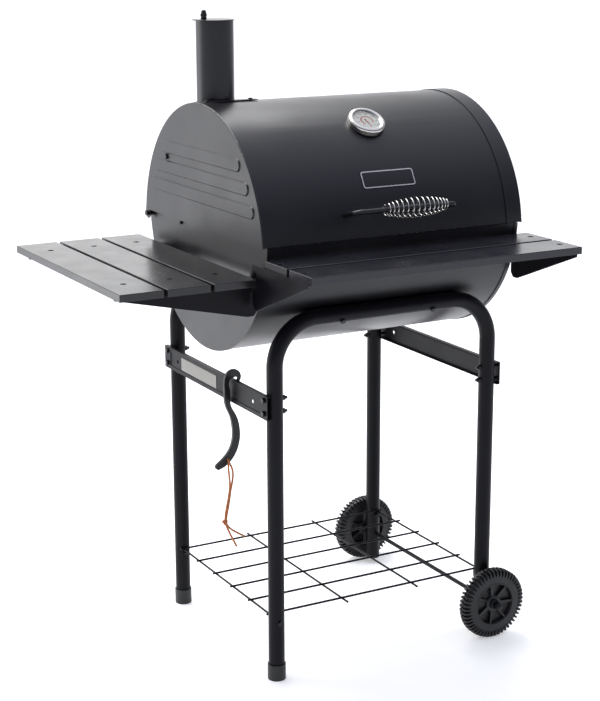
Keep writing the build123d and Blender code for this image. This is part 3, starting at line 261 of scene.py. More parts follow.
# %% Enamel, ink and film
dial_enamel = surface("white_dial_enamel", "b9b8b2", "cfcec9", 9 * mm, (0.3, 0.4), 0.5 * mm, 0.004 * mm,
                      Emission_Color=colour("e6e5df"), Emission_Strength=0.3)
dial_ink = surface("black_dial_ink", "141414", "26262a", 4 * mm, (0.4, 0.5), 0.4 * mm, 0.003 * mm)
red_ink = surface("red_dial_ink", "b33a1c", "c9492a", 4 * mm, (0.4, 0.5), 0.4 * mm, 0.003 * mm)
needle_paint = surface("red_needle_paint", "b02a14", "c43a20", 5 * mm, (0.3, 0.4), 0.4 * mm, 0.003 * mm)
badge_enamel = surface("black_badge_enamel", "08080a", "0e0e11", 12 * mm, (0.22, 0.32), 0.8 * mm,
                       0.008 * mm, soft_edge=0.3 * mm)
badge_bright = surface("bright_badge_outline", "c9c7c3", "dcdad7", 8 * mm, (0.25, 0.35), 0.5 * mm,
                       0.004 * mm, Metallic=0.6)
label_film = surface("silver_label_film", "7f7d78", "94928c", 18 * mm, (0.34, 0.46), 0.9 * mm,
                     0.01 * mm, Metallic=0.3)

# %% [markdown]
# The gauge window is a flat disc of glass. Its colour is clear, and the shader bends light by the
# index of window glass.

# %% Gauge glass
gauge_glass = surface("gauge_glass", "f4f6f6", "fafcfc", 20 * mm, (0.01, 0.03), 2.0 * mm, 0.002 * mm,
                      IOR=1.5, Transmission_Weight=1.0)
print(gauge_glass.name, "lets light through")

# %% [markdown]
# The loop on the grate lifter is cut leather lace, dyed in the vat. The dye takes unevenly, the edges
# wear lighter, and short fibres run along the lace.

# %% Leather lace
lace_leather = surface("dyed_leather_lace", "96501c", "d27a34", 7 * mm, (0.5, 0.68), 0.5 * mm,
                       0.08 * mm, IOR=1.5, Sheen_Weight=0.25)
print(lace_leather.name)

# %% [markdown]
# ## Finish the CAD pieces
# Each CAD piece has one slot, named after the finish that it is made in. The table below swaps every
# slot's plain stand-in for the material made above. The front slats get a grain that runs their own way
# and a lighter, bluer copy of the slat paint, which is painted light. The painted parts of the cart get
# the darker copy of the black paint, which is painted shade.

# %% Give every CAD piece its finish
finishes = {
    "black_coat": black_paint, "black_fastener": blackened_steel, "painted_slat": side_slat_paint,
    "wheel_plastic": wheel_plastic, "foot_plastic": cap_plastic, "axle_steel": axle_zinc,
    "plated_wire": nickel_wire, "steel_wire": drawn_wire, "grip_wire": bright_wire,
    "bezel_steel": polished_steel, "dial_enamel": dial_enamel, "needle_paint": needle_paint,
    "gauge_glass": gauge_glass, "plate_enamel": badge_enamel, "label_film": label_film,
    "lifter_iron": lifter_casting, "lace_leather": lace_leather,
}
for name, node in nodes.items():
    for index, stand_in in enumerate(node.data.materials):
        finish = finishes[stand_in.name.split(".")[0]]
        # The front slats' lighter, bluer copy of the slat paint is painted light.
        if name.startswith("front_slat"):
            finish = front_slat_paint_painted_light
        # The cart's painted parts get the darker copy of the black paint: painted shade, not a different
        # paint.
        if name.endswith(("_leg", "_crossbar", "_bracket", "wire_shelf", "slat_screws")):
            finish = cart_paint_painted_shade
        node.data.materials[index] = finish
print("finished", len(nodes), "CAD pieces")

# %% [markdown]
# ## Tools for new pieces
# A new piece is a mesh at its final place, on an object that stays at the origin. Curved faces are
# shaded smooth and edges sharper than an angle stay crisp. A Geometry Nodes tree is run once on a mesh
# and gives back a plain mesh, so nothing live is left on the piece.

# %% Piece helpers
def make_mesh(name, points, faces, finish):
    """A mesh from points and faces, with one material."""
    mesh = bpy.data.meshes.new(name)
    mesh.from_pydata([tuple(p) for p in points], [], faces)
    mesh.materials.append(finish)
    mesh.validate()
    return mesh


def run_tree(tree, base, **values):
    """The plain mesh that a Geometry Nodes tree makes from a base mesh and named input values."""
    holder = bpy.data.objects.new("holder", base)
    bpy.context.scene.collection.objects.link(holder)
    modifier = holder.modifiers.new("tree", "NODES")
    modifier.node_group = tree
    for socket in tree.interface.items_tree:
        label = socket.name.replace(" ", "_").lower()
        if socket.in_out == "INPUT" and label in values:
            modifier[socket.identifier] = values[label]
    made = bpy.data.meshes.new_from_object(holder.evaluated_get(bpy.context.evaluated_depsgraph_get()))
    bpy.data.objects.remove(holder)
    return made


def join(meshes, turn=None):
    """Several meshes as one, turned and moved by a matrix; all share the first one's materials."""
    points, faces = [], []
    for mesh in meshes:
        start = len(points)
        points += [vertex.co.copy() for vertex in mesh.vertices]
        faces += [[start + v for v in polygon.vertices] for polygon in mesh.polygons]
    made = make_mesh("joined", points, faces, meshes[0].materials[0])
    if turn:
        made.transform(turn)
    return made


def piece(name, mesh, body, replaced=(), smooth_below=35.0):
    """Puts a mesh into the scene as a piece that rides on a CAD body; the mesh keeps its own material."""
    mesh.polygons.foreach_set("use_smooth", [True] * len(mesh.polygons))
    mesh.set_sharp_from_angle(angle=math.radians(smooth_below))
    made = bpy.data.objects.new(name, mesh)
    bpy.context.scene.collection.objects.link(made)
    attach(made, body)
    if replaced:
        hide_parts(*replaced)
    print(name, "has", len(mesh.polygons), "faces")
    return made


# %% [markdown]
# ## A tree that repeats a shape round a ring
# Wheel lugs, wheel ribs and dial marks are all one small shape, repeated round an axis. The tree puts
# a number of points on the axis, turns each one a step further and sets the shape on every point. Doing
# this by hand, with a loop that copies vertices, would hide the three numbers that matter: how many,
# where the first one is, and how far the ring goes round.

# %% Build the ring tree
ring_tree = bpy.data.node_groups.new("repeat_round_a_ring", "GeometryNodeTree")
ring_sockets = {"Shape": "NodeSocketGeometry", "Count": "NodeSocketInt", "Start": "NodeSocketFloat",
                "Sweep": "NodeSocketFloat", "Finish": "NodeSocketMaterial"}
for label, kind in ring_sockets.items():
    ring_tree.interface.new_socket(label, in_out="INPUT", socket_type=kind)
ring_tree.interface.new_socket("Ring", in_out="OUTPUT", socket_type="NodeSocketGeometry")
ring_in = add_node(ring_tree, "NodeGroupInput").outputs
hub_points = add_node(ring_tree, "GeometryNodeMeshLine", {"Count": ring_in["Count"],
                                                          "Offset": (0.0, 0.0, 0.0)})
step = maths(ring_tree, "DIVIDE", ring_in["Sweep"], ring_in["Count"])
number = add_node(ring_tree, "GeometryNodeInputIndex").outputs[0]
angle = maths(ring_tree, "MULTIPLY_ADD", number, step, ring_in["Start"])
euler = add_node(ring_tree, "ShaderNodeCombineXYZ", {"Z": angle})
turned = add_node(ring_tree, "FunctionNodeEulerToRotation", {0: euler.outputs[0]})
copies = add_node(ring_tree, "GeometryNodeInstanceOnPoints",
                  {"Points": hub_points.outputs[0], "Instance": ring_in["Shape"],
                   "Rotation": turned.outputs[0]})
real = add_node(ring_tree, "GeometryNodeRealizeInstances", {0: copies.outputs[0]})
finished = add_node(ring_tree, "GeometryNodeSetMaterial",
                    {"Geometry": real.outputs[0], "Material": ring_in["Finish"]})
add_node(ring_tree, "NodeGroupOutput", {0: finished.outputs[0]})
print("ring tree has", len(ring_tree.nodes), "nodes")

# %% [markdown]
# ## Wheels
# Each wheel is one moulding: a hub, a sunk dish with ribs, a smooth side wall and two rows of lugs on
# the tread, which bend over the shoulder. The body is a profile turned round the axle. One lug and one
# rib are made as small meshes, and the ring tree repeats them. The second row of lugs sits half a step
# on from the first, as on the real tread.

# %% Turn the wheel's body
wheel_low, wheel_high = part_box("front_wheel")
wheel_radius = (wheel_high.z - wheel_low.z) / 2
lug_height = 3.6 * mm
tread = wheel_radius - lug_height
half_profile = [(5.4, 17.0), (9.0, 17.0), (10.4, 16.0), (11.2, 9.8), (16.6, 9.4), (17.8, 8.4),
                (18.6, 3.4), (20.5, 2.6), (39.0, 2.6), (41.4, 3.6), (43.2, 13.6), (44.2, 14.6),
                (46.2, 14.6), (47.2, 13.6), (60.0, 13.6), (62.2, 13.0), (66.4, 10.8), (69.6, 7.0)]
outer_side = [(r * mm, z * mm) for r, z in half_profile] + [(tread, 3.4 * mm), (tread, 0.0)]
profile = outer_side + [(r, -z) for r, z in reversed(outer_side[:-1])]
turns = 96


def turn_profile(profile, turns, finish):
    """A closed solid: the profile turned round the Z axis, its last point joined to its first."""
    points, faces = [], []
    for t in range(turns):
        around = 2 * math.pi * t / turns
        points += [(r * math.cos(around), r * math.sin(around), z) for r, z in profile]
    count = len(profile)
    for t in range(turns):
        here, there = t * count, (t + 1) % turns * count
        for k in range(count):
            following = (k + 1) % count
            faces.append((here + k, here + following, there + following, there + k))
    made = make_mesh("turned", points, faces, finish)
    shape = bmesh.new()
    shape.from_mesh(made)
    bmesh.ops.remove_doubles(shape, verts=shape.verts, dist=0.001 * mm)
    bmesh.ops.recalc_face_normals(shape, faces=shape.faces)
    shape.to_mesh(made)
    shape.free()
    return made


wheel_body = turn_profile(profile, turns, wheel_plastic)
print("wheel radius", round(wheel_radius * 1000, 1), "mm, tread at", round(tread * 1000, 1), "mm")


# %% Make one lug and one rib, and repeat them
def strip(stations, finish):
    """A bar along stations of (centre, half width, up): four corners at each, closed at both ends."""
    points, faces = [], []
    for centre, half, up in stations:
        centre, up = Vector(centre), Vector(up)
        side = Vector((0.0, half, 0.0))
        points += [centre - side, centre + side, centre + side * 0.72 + up, centre - side * 0.72 + up]
    for s in range(len(stations) - 1):
        a = 4 * s
        for k in range(4):
            b = (k + 1) % 4
            faces.append((a + k, a + b, a + 4 + b, a + 4 + k))
    last = 4 * (len(stations) - 1)
    faces += [(3, 2, 1, 0), (last, last + 1, last + 2, last + 3)]
    return make_mesh("strip", points, faces, finish)


lug_half = 2.6 * mm
root = tread - 0.6 * mm
lug_stations = [((root, 0.0, 0.9 * mm), lug_half, (lug_height + 0.6 * mm, 0.0, 0.0)),
                ((root, 0.0, 7.0 * mm), lug_half, (lug_height + 0.6 * mm, 0.0, 0.0)),
                ((66.6 * mm, 0.0, 9.6 * mm), lug_half, (5.6 * mm, 0.0, 3.0 * mm)),
                ((62.2 * mm, 0.0, 12.2 * mm), lug_half, (2.6 * mm, 0.0, 3.4 * mm)),
                ((59.6 * mm, 0.0, 13.0 * mm), lug_half * 0.8, (0.6 * mm, 0.0, 1.4 * mm))]
rib_stations = [((16.0 * mm, 0.0, 1.0 * mm), 4.6 * mm, (0.0, 0.0, 7.6 * mm)),
                ((43.0 * mm, 0.0, 1.0 * mm), 2.6 * mm, (0.0, 0.0, 11.4 * mm))]
lug, rib = strip(lug_stations, wheel_plastic), strip(rib_stations, wheel_plastic)
lug_count, rib_count = 50, 7
full_turn = 2 * math.pi
row_of_lugs = run_tree(ring_tree, lug, count=lug_count, sweep=full_turn, finish=wheel_plastic)
half_step = full_turn / lug_count / 2
shifted_lugs = run_tree(ring_tree, lug, count=lug_count, start=half_step, sweep=full_turn,
                        finish=wheel_plastic)
row_of_ribs = run_tree(ring_tree, rib, count=rib_count, sweep=full_turn, finish=wheel_plastic)
other_side = Matrix.Rotation(math.pi, 4, "X")
shifted_lugs.transform(other_side)
back_ribs = row_of_ribs.copy()
back_ribs.transform(other_side)
wheel = join([wheel_body, row_of_lugs, shifted_lugs, row_of_ribs, back_ribs])
print("one wheel has", len(wheel.polygons), "faces")

# %% Put a wheel on each end of the axle
stand_up = Matrix.Rotation(math.radians(90), 4, "X")
for name in ("front_wheel", "rear_wheel"):
    low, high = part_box(name)
    mesh = join([wheel], Matrix.Translation((low + high) / 2) @ stand_up)
    piece(name + "_moulding", mesh, name, replaced=[name], smooth_below=40.0)

# %% [markdown]
# ## Spring grip
# The hand grip is a coil of bright wire, wound tight at both ends and open in the middle, where it
# swells like a barrel to keep the hand off the hot rod. It is a path with a rule, so Geometry Nodes
# bend a straight line into it: the angle grows evenly, the step along the rod shrinks at the ends, and
# the radius follows half a sine wave.

# %% Build the coil tree
coil_tree = bpy.data.node_groups.new("barrel_coil", "GeometryNodeTree")
coil_sockets = {"Turns": "NodeSocketFloat", "Length": "NodeSocketFloat", "End Radius": "NodeSocketFloat",
                "Middle Radius": "NodeSocketFloat", "Wire Radius": "NodeSocketFloat",
                "Points": "NodeSocketInt", "Finish": "NodeSocketMaterial"}
for label, kind in coil_sockets.items():
    coil_tree.interface.new_socket(label, in_out="INPUT", socket_type=kind)
coil_tree.interface.new_socket("Coil", in_out="OUTPUT", socket_type="NodeSocketGeometry")
coil_in = add_node(coil_tree, "NodeGroupInput").outputs
line = add_node(coil_tree, "GeometryNodeCurvePrimitiveLine")
dense = add_node(coil_tree, "GeometryNodeResampleCurve", {"Curve": line.outputs[0],
                                                          "Count": coil_in["Points"]})
share = add_node(coil_tree, "GeometryNodeSplineParameter").outputs["Factor"]
end_tightness, fullness = 0.25, 0.8
full_circle = maths(coil_tree, "MULTIPLY", share, 2 * math.pi)
around = maths(coil_tree, "MULTIPLY", full_circle, coil_in["Turns"])
tight = maths(coil_tree, "MULTIPLY", maths(coil_tree, "SINE", full_circle), end_tightness / (2 * math.pi))
eased = maths(coil_tree, "SUBTRACT", share, tight)
half_wave = maths(coil_tree, "SINE", maths(coil_tree, "MULTIPLY", eased, math.pi))
swell = maths(coil_tree, "POWER", half_wave, fullness)
bulge = maths(coil_tree, "SUBTRACT", coil_in["Middle Radius"], coil_in["End Radius"])
radius = maths(coil_tree, "MULTIPLY_ADD", swell, bulge, coil_in["End Radius"])
spot = add_node(coil_tree, "ShaderNodeCombineXYZ",
                {"X": maths(coil_tree, "MULTIPLY", eased, coil_in["Length"]),
                 "Y": maths(coil_tree, "MULTIPLY", radius, maths(coil_tree, "SINE", around)),
                 "Z": maths(coil_tree, "MULTIPLY", radius, maths(coil_tree, "COSINE", around))})
wound = add_node(coil_tree, "GeometryNodeSetPosition", {"Geometry": dense.outputs[0],
                                                        "Position": spot.outputs[0]})
section = add_node(coil_tree, "GeometryNodeCurvePrimitiveCircle", {"Resolution": 10,
                                                                   "Radius": coil_in["Wire Radius"]})
wire = add_node(coil_tree, "GeometryNodeCurveToMesh", {"Curve": wound.outputs[0],
                                                       "Profile Curve": section.outputs[0],
                                                       "Fill Caps": True})
single = add_node(coil_tree, "GeometryNodeRealizeInstances", {0: wire.outputs[0]})
bright = add_node(coil_tree, "GeometryNodeSetMaterial", {"Geometry": single.outputs[0],
                                                         "Material": coil_in["Finish"]})
add_node(coil_tree, "NodeGroupOutput", {0: bright.outputs[0]})

# %% Wind the coil round the handle
grip_low, grip_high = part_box("spring_grip")
grip_length = grip_high.x - grip_low.x
wire_radius = 1.1 * mm
middle_radius = (grip_high.z - grip_low.z) / 2 - wire_radius
grip_turns, points_a_turn = 14, 40
coil = run_tree(coil_tree, bpy.data.meshes.new("empty"), turns=float(grip_turns),
                length=grip_length - 2 * wire_radius, end_radius=9.8 * mm, middle_radius=middle_radius,
                wire_radius=wire_radius, points=grip_turns * points_a_turn, finish=bright_wire)
grip_middle = (grip_low + grip_high) / 2
coil.transform(Matrix.Translation((grip_low.x + wire_radius, grip_middle.y, grip_middle.z)))
piece("spring_grip_coil", coil, "spring_grip", replaced=["spring_grip"], smooth_below=60.0)
print("coil is", round(grip_length * 1000), "mm long and", round(middle_radius * 2000), "mm wide")

# %% [markdown]
# ## Gauge dial
# The dial lies on the slope of the lid. A matrix carries flat drawings onto it: its origin is the
# needle's pivot and its Z axis is the axis the needle turns on. The short and long marks and the red
# band are printed, so they are thin plates just above the enamel.

# %% The dial's own plane
pivot = Vector(joints["needle_turn"]["pos_m"])
outward = -Vector(joints["needle_turn"]["axis"]).normalized()
dial_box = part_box("thermometer_dial")
sideways = Vector((1.0, 0.0, 0.0))
upslope = outward.cross(sideways)
case_low, case_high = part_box("thermometer_case")
dial_radius = (dial_box[1].x - dial_box[0].x) / 2
dial_top = max((vertex.co - pivot).dot(outward) for vertex in nodes["thermometer_dial"].data.vertices)
dial_origin = pivot + outward * dial_top
onto_dial = Matrix.Translation(dial_origin) @ Matrix((sideways, upslope, outward)).transposed().to_4x4()
print("dial radius", round(dial_radius * 1000, 1), "mm")


# %% [markdown]
# The bezel is a ring of stainless steel, spun on a lathe and polished, so it is a profile turned round
# the needle's axis. The mouth steps down to the dial, the crown is rounded over, and the stem that
# reaches into the hot air is part of the same turning.

# %% Turn the bezel
bezel_radius = (case_high.x - case_low.x) / 2
bezel_top, corner, corner_steps = 13.5 * mm, 6.0 * mm, 8
crown_angles = [math.pi / 2 * k / corner_steps for k in range(corner_steps + 1)]
crown = [(bezel_radius - corner * (1 - math.sin(a)), bezel_top - corner * (1 - math.cos(a)))
         for a in crown_angles]
mouth = [(0.0, 4.5), (26.0, 4.5), (26.0, 8.5), (27.0, 8.5), (27.0, 9.9), (28.6, 12.3), (29.8, 13.2)]
stem = [(4.5, 0.5), (4.5, -12.0), (3.0, -12.6), (3.0, -44.0), (0.0, -45.0)]
bezel_profile = [(r * mm, z * mm) for r, z in mouth] + crown + [(bezel_radius, 0.5 * mm)]
bezel_profile += [(r * mm, z * mm) for r, z in stem]
onto_lid = Matrix.Translation(pivot) @ Matrix((sideways, upslope, outward)).transposed().to_4x4()
bezel = join([turn_profile(bezel_profile, 72, polished_steel)], onto_lid)
piece("gauge_bezel", bezel, "lid", replaced=["thermometer_case"], smooth_below=32.0)


# %% Printed marks
def flat_plate(corners, thick, finish):
    """A thin plate: a loop of corners in a plane, given a thickness upwards."""
    count = len(corners)
    points = [(x, y, 0.0) for x, y in corners] + [(x, y, thick) for x, y in corners]
    faces = [tuple(range(count, 2 * count)), tuple(reversed(range(count)))]
    faces += [(k, (k + 1) % count, count + (k + 1) % count, count + k) for k in range(count)]
    return make_mesh("plate", points, faces, finish)


ink_height = 0.12 * mm


def mark(inner, outer, half, finish):
    """One mark on the dial, along its local X axis."""
    return flat_plate([(inner, -half), (outer, -half), (outer, half), (inner, half)], ink_height, finish)


scale_start, scale_sweep = math.radians(225), math.radians(-270)
rim = dial_radius - 0.8 * mm
minor_count, major_count = 35, 7
minor = run_tree(ring_tree, mark(rim - 1.9 * mm, rim, 0.22 * mm, dial_ink), count=minor_count + 1,
                 start=scale_start, sweep=scale_sweep * (minor_count + 1) / minor_count, finish=dial_ink)
major = run_tree(ring_tree, mark(rim - 3.6 * mm, rim, 0.42 * mm, dial_ink), count=major_count + 1,
                 start=scale_start, sweep=scale_sweep * (major_count + 1) / major_count, finish=dial_ink)
piece("dial_marks", join([minor, major], onto_dial), "lid")

band_inner, band_outer, band_steps = dial_radius * 0.42, dial_radius * 0.53, 60
band_start, band_end = math.radians(232), math.radians(-28)
band_angles = [band_start + (band_end - band_start) * k / band_steps for k in range(band_steps + 1)]
band = [(band_outer * math.cos(a), band_outer * math.sin(a)) for a in band_angles]
band += [(band_inner / band_outer * x, band_inner / band_outer * y) for x, y in reversed(band)]
band_mesh = flat_plate(list(reversed(band)), 0.1 * mm, red_ink)
piece("dial_band", join([band_mesh], onto_dial), "lid")

# %% [markdown]
# The numbers are generic temperatures in steps of fifty, set in Blender's own typeface. Each is a text
# object, turned into a mesh and laid on the dial.

# %% Numbers on the dial
number_size, number_step, from_rim = 4.0 * mm, 50, 6.3 * mm
number_parts = []
for k in range(major_count + 1):
    text = bpy.data.curves.new("number", "FONT")
    text.body = str(number_step * k)
    text.size = number_size
    text.align_x, text.align_y = "CENTER", "CENTER"
    text.extrude = 0.05 * mm
    holder = bpy.data.objects.new("number", text)
    bpy.context.scene.collection.objects.link(holder)
    flat = bpy.data.meshes.new_from_object(holder.evaluated_get(bpy.context.evaluated_depsgraph_get()))
    bpy.data.objects.remove(holder)
    away = scale_start + scale_sweep * k / major_count
    distance = rim - from_rim
    flat.transform(Matrix.Translation((distance * math.cos(away), distance * math.sin(away), 0.08 * mm)))
    flat.materials.clear()
    flat.materials.append(dial_ink)
    number_parts.append(flat)
piece("dial_numbers", join(number_parts, onto_dial), "lid")

# %% [markdown]
# ## Badge outline
# The badge on the lid is a curved enamel plate. Its only decoration here is a bright line just inside
# the edge. The line is drawn flat as a rounded rectangle, thickened to a band, and then wrapped on the
# lid's curve by turning its height into an angle.

# %% Draw and wrap the outline
plate_low, plate_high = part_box("name_plate")
lid_skin = (cart_centre.y - pivot.y) / -outward.y
lid_axis = Vector((0.0, cart_centre.y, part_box("lid_shell")[1].z - lid_skin))
plate_points = [vertex.co - lid_axis for vertex in nodes["name_plate"].data.vertices]
plate_angles = [math.atan2(-point.y, point.z) for point in plate_points]
plate_angle = (min(plate_angles) + max(plate_angles)) / 2
lid_radius = max(math.hypot(point.y, point.z) for point in plate_points)
plate_half_height = lid_radius * (max(plate_angles) - min(plate_angles)) / 2
plate_half_width = (plate_high.x - plate_low.x) / 2
print("badge", round(plate_half_width * 2000, 1), "x", round(plate_half_height * 2000, 1), "mm")


def rounded_loop(half_width, half_height, corner, steps=8):
    """The corners of a rounded rectangle, anticlockwise from the lower right."""
    loop = []
    for quarter, (sx, sy) in enumerate([(1, -1), (1, 1), (-1, 1), (-1, -1)]):
        for k in range(steps + 1):
            a = math.radians(-90 + 90 * quarter + 90 * k / steps)
            loop.append((sx * (half_width - corner) + corner * math.cos(a),
                         sy * (half_height - corner) + corner * math.sin(a)))
    return loop


def wrap(x, up, lift):
    """A point of the flat drawing, wrapped on the lid: up turns into an angle, lift moves outwards."""
    a = plate_angle - up / lid_radius
    r = lid_radius + lift
    middle_x = (plate_low.x + plate_high.x) / 2
    return Vector((middle_x + x, lid_axis.y - r * math.sin(a), lid_axis.z + r * math.cos(a)))


inset, outline_width = 1.2 * mm, 1.9 * mm
outer_loop = rounded_loop(plate_half_width - inset, plate_half_height - inset, 5.0 * mm)
inner_loop = rounded_loop(plate_half_width - inset - outline_width,
                          plate_half_height - inset - outline_width, 3.4 * mm)
count = len(outer_loop)
outline_points = []
for lift in (-0.1 * mm, 0.25 * mm):
    outline_points += [wrap(x, y, lift) for x, y in outer_loop] + [wrap(x, y, lift) for x, y in inner_loop]
outline_faces = []
for k in range(count):
    n = (k + 1) % count
    outline_faces += [(2 * count + k, 2 * count + n, 3 * count + n, 3 * count + k),
                      (k, n, 2 * count + n, 2 * count + k),
                      (count + n, count + k, 3 * count + k, 3 * count + n),
                      (n, k, count + k, count + n)]
outline = make_mesh("outline", outline_points, outline_faces, badge_bright)
piece("badge_outline", outline, "lid")

# %% [markdown]
# ## Leather lace
# A lace is looped through the hole in the lifter. Its two strands hang straight down under their own
# weight, cross once, and are tied together in a knot, below which two short tails hang. Each strand is
# a smooth NURBS curve with a round section, and follows the same route as in CAD. It is a little
# thicker than the plain CAD tube, because soft leather lace is a flat strip that twists as it hangs.

# %% Hang the two strands
lace_diameter = 4.2 * mm
front_route = [(-279.0, -80.0, 425.0), (-279.2, -86.5, 424.6), (-280.4, -89.0, 417.0),
               (-280.8, -88.6, 406.0), (-278.6, -87.6, 389.0), (-275.9, -85.6, 368.0),
               (-279.2, -84.4, 344.0), (-283.4, -83.4, 322.0), (-286.2, -82.6, 306.0),
               (-286.6, -81.9, 291.0), (-281.2, -82.4, 276.0), (-272.6, -83.6, 257.0),
               (-262.4, -83.2, 236.5)]
rear_route = [(-279.0, -80.0, 425.0), (-278.6, -73.5, 424.6), (-274.6, -70.6, 418.4),
              (-267.2, -70.4, 408.0), (-261.9, -71.6, 391.5), (-264.6, -73.6, 373.0),
              (-270.2, -75.8, 356.0), (-273.9, -77.4, 337.0), (-278.0, -78.6, 319.0),
              (-281.8, -79.2, 304.0), (-283.4, -78.4, 289.0), (-275.4, -76.6, 276.0),
              (-259.4, -76.2, 263.5), (-241.0, -75.4, 252.0)]


def strand(name, route):
    """One strand of the lace as a NURBS curve along a route, which is given from the cart's middle."""
    curve = bpy.data.curves.new(name, "CURVE")
    curve.dimensions = "3D"
    curve.bevel_depth = lace_diameter / 2
    curve.bevel_resolution = 3
    curve.resolution_u = 16
    curve.use_fill_caps = True
    spline = curve.splines.new("NURBS")
    spline.points.add(len(route) - 1)
    for point, (x, y, z) in zip(spline.points, route):
        point.co = (cart_centre.x + x * mm, cart_centre.y + y * mm, cart_centre.z + z * mm, 1.0)
    spline.order_u = 3
    spline.use_endpoint_u = True
    curve.materials.append(lace_leather)
    made = bpy.data.objects.new(name, curve)
    bpy.context.scene.collection.objects.link(made)
    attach(made, "lifter")
    return made


front_strand = strand("front_lace_strand", front_route)
rear_strand = strand("rear_lace_strand", rear_route)
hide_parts("lace_front")
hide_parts("lace_rear")

# %% [markdown]
# The knot is a single overhand knot, pulled tight. The trefoil curve has the same crossings, so a
# closed tube along it, squeezed to the knot's real size, looks like the lace wound round itself.

# %% Tie the knot
knot_low, knot_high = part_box("lace_knot")
knot_radius = (knot_high.z - knot_low.z) / 2
knot_scale = (knot_radius - lace_diameter / 2) / 3.0
knot_centre = (knot_low + knot_high) / 2
knot_steps, ring_steps = 96, 12


def knot_spot(t):
    """A point of a trefoil knot, whose loops reach 3 units from the middle, at the knot's scale."""
    return Vector((math.sin(t) + 2 * math.sin(2 * t), -1.2 * math.sin(3 * t),
                   math.cos(t) - 2 * math.cos(2 * t))) * knot_scale


knot_points, knot_faces = [], []
for s in range(knot_steps):
    t = 2 * math.pi * s / knot_steps
    here = knot_spot(t)
    forward = (knot_spot(t + 0.01) - knot_spot(t - 0.01)).normalized()
    across = forward.cross(Vector((0.0, 1.0, 0.0))).normalized()
    lift = across.cross(forward)
    for r in range(ring_steps):
        a = 2 * math.pi * r / ring_steps
        round_the_lace = (across * math.cos(a) + lift * math.sin(a)) * lace_diameter / 2
        knot_points.append(knot_centre + here + round_the_lace)
    for r in range(ring_steps):
        n, there = (r + 1) % ring_steps, (s + 1) % knot_steps
        knot_faces.append((s * ring_steps + r, s * ring_steps + n, there * ring_steps + n,
                           there * ring_steps + r))
knot = piece("lace_knot_tied", make_mesh("knot", knot_points, knot_faces, lace_leather), "lifter",
             replaced=["lace_knot"], smooth_below=80.0)


def route_length(obj):
    """The length of a strand's own smooth curve, without its thickness."""
    bare = obj.data.copy()
    bare.bevel_depth = 0.0
    holder = bpy.data.objects.new("bare", bare)
    bpy.context.scene.collection.objects.link(holder)
    line = bpy.data.meshes.new_from_object(holder.evaluated_get(bpy.context.evaluated_depsgraph_get()))
    bpy.data.objects.remove(holder)
    points = [vertex.co for vertex in line.vertices]
    return sum((b - a).length for a, b in zip(points, points[1:]))


for obj, route in ((front_strand, front_route), (rear_strand, rear_route)):
    length = route_length(obj)
    print(obj.name, "is", round(length * 1000, 1), "mm long")

# %% [markdown]
# ## Studio
# The floor is a plain pale sheet that runs far back, so that no horizon shows. It gives off a little
# light of its own, as a lit paper sweep does. A large soft light hangs over the grill and a weak one
# stands at its left. The room is bright behind the grill and dark in front, and the black paint mirrors
# that as its slow fall from grey to black.

# %% Floor
floor_half = 60.0
floor_mesh = bpy.data.meshes.new("floor")
floor_mesh.from_pydata([(-floor_half, -floor_half, 0.0), (floor_half, -floor_half, 0.0),
                        (floor_half, floor_half, 0.0), (-floor_half, floor_half, 0.0)], [], [(0, 1, 2, 3)])
floor_mesh.transform(Matrix.Translation((0.0, 0.0, cad_bounds[0][2])))
floor_paper = bpy.data.materials.new("white_paper_floor")
floor_paper.use_nodes = True
paper = floor_paper.node_tree.nodes["Principled BSDF"].inputs
paper["Base Color"].default_value = colour("f6f6f6")
paper["Roughness"].default_value = 0.6
paper["Emission Color"].default_value = colour("ffffff")
paper["Emission Strength"].default_value = 0.37
floor_mesh.materials.append(floor_paper)
floor = bpy.data.objects.new("floor", floor_mesh)
bpy.context.scene.collection.objects.link(floor)
print("floor reaches", floor_half, "m each way")


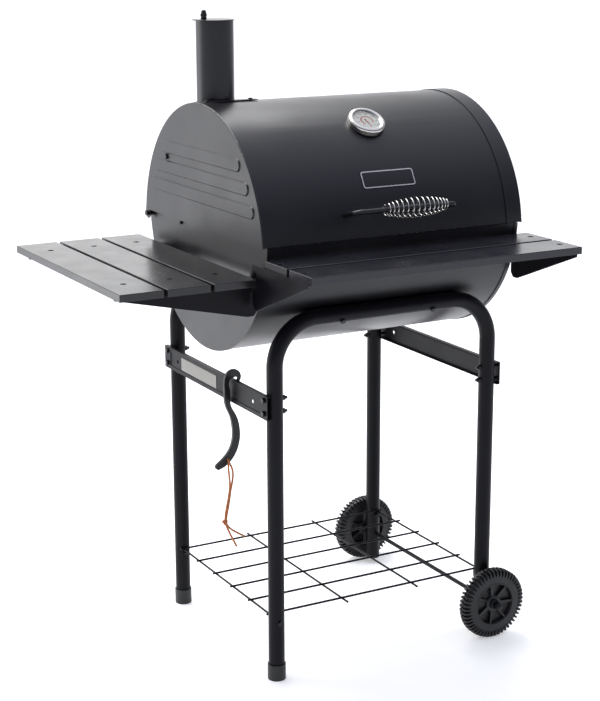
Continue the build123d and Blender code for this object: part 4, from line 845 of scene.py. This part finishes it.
# %% Lights
def softbox(name, place, aim, width, depth, watts):
    """A large soft light at a place, aimed at a point, both measured from the cart's middle."""
    data = bpy.data.lights.new(name, "AREA")
    data.shape = "RECTANGLE"
    data.size, data.size_y, data.energy = width, depth, watts
    made = bpy.data.objects.new(name, data)
    bpy.context.scene.collection.objects.link(made)
    made.location = cart_centre + Vector(place)
    made.rotation_mode = "QUATERNION"
    made.rotation_quaternion = (Vector(aim) - Vector(place)).to_track_quat("-Z", "Y")
    return made


softbox("overhead_softbox", (-0.4, 1.3, 3.2), (0.0, 0.0, 0.7), 3.4, 1.7, 105.0)
softbox("left_softbox", (-2.1, 2.0, 1.0), (-0.3, 0.0, 0.9), 1.6, 1.8, 14.0)

# %% [markdown]
# The room is a world with a rule for its brightness. It grows towards the back and towards the top, and
# a strong glow low at the back, more at the right than at the left, is what the slats' outer ends and
# the lid's top edge mirror. The dark front is a little blue.

# %% Room
room = bpy.data.worlds.new("room")
bpy.context.scene.world = room
room.use_nodes = True
room_tree = room.node_tree
direction = add_node(room_tree, "ShaderNodeTexCoord").outputs["Generated"]
axes = add_node(room_tree, "ShaderNodeSeparateXYZ", {0: direction}).outputs
fall_off, top_gain, darkest, wall_gain = 1.6, 1.6, 0.1, 0.9
glow_narrowness, glow_gain, glow_slant, glow_middle = 8.0, 1.3, 0.7, 0.67
toward_back = maths(room_tree, "MULTIPLY_ADD", axes["Y"], 0.5, 0.5)
toward_top = maths(room_tree, "MAXIMUM", axes["Z"], 0.0)
back_light = maths(room_tree, "POWER", toward_back, fall_off)
top_light = maths(room_tree, "MULTIPLY", maths(room_tree, "POWER", toward_top, fall_off), top_gain)
level = maths(room_tree, "MAXIMUM", back_light, top_light)
even_light = maths(room_tree, "MULTIPLY_ADD", level, wall_gain, darkest)
toward_right = maths(room_tree, "MULTIPLY_ADD", axes["X"], glow_slant, glow_middle)
low_back = maths(room_tree, "POWER", toward_back, glow_narrowness)
glow = maths(room_tree, "MULTIPLY", low_back, toward_right)
brightness = maths(room_tree, "MULTIPLY_ADD", glow, glow_gain, even_light)
tint = add_node(room_tree, "ShaderNodeMix", {0: toward_back, 6: colour("c3cae8"), 7: colour("ffffff")},
                data_type="RGBA")
background = room_tree.nodes["Background"]
room_tree.links.new(tint.outputs[2], background.inputs["Color"])
room_tree.links.new(brightness, background.inputs["Strength"])
bpy.context.scene.view_settings.view_transform = "Standard"
print("room tree has", len(room_tree.nodes), "nodes")
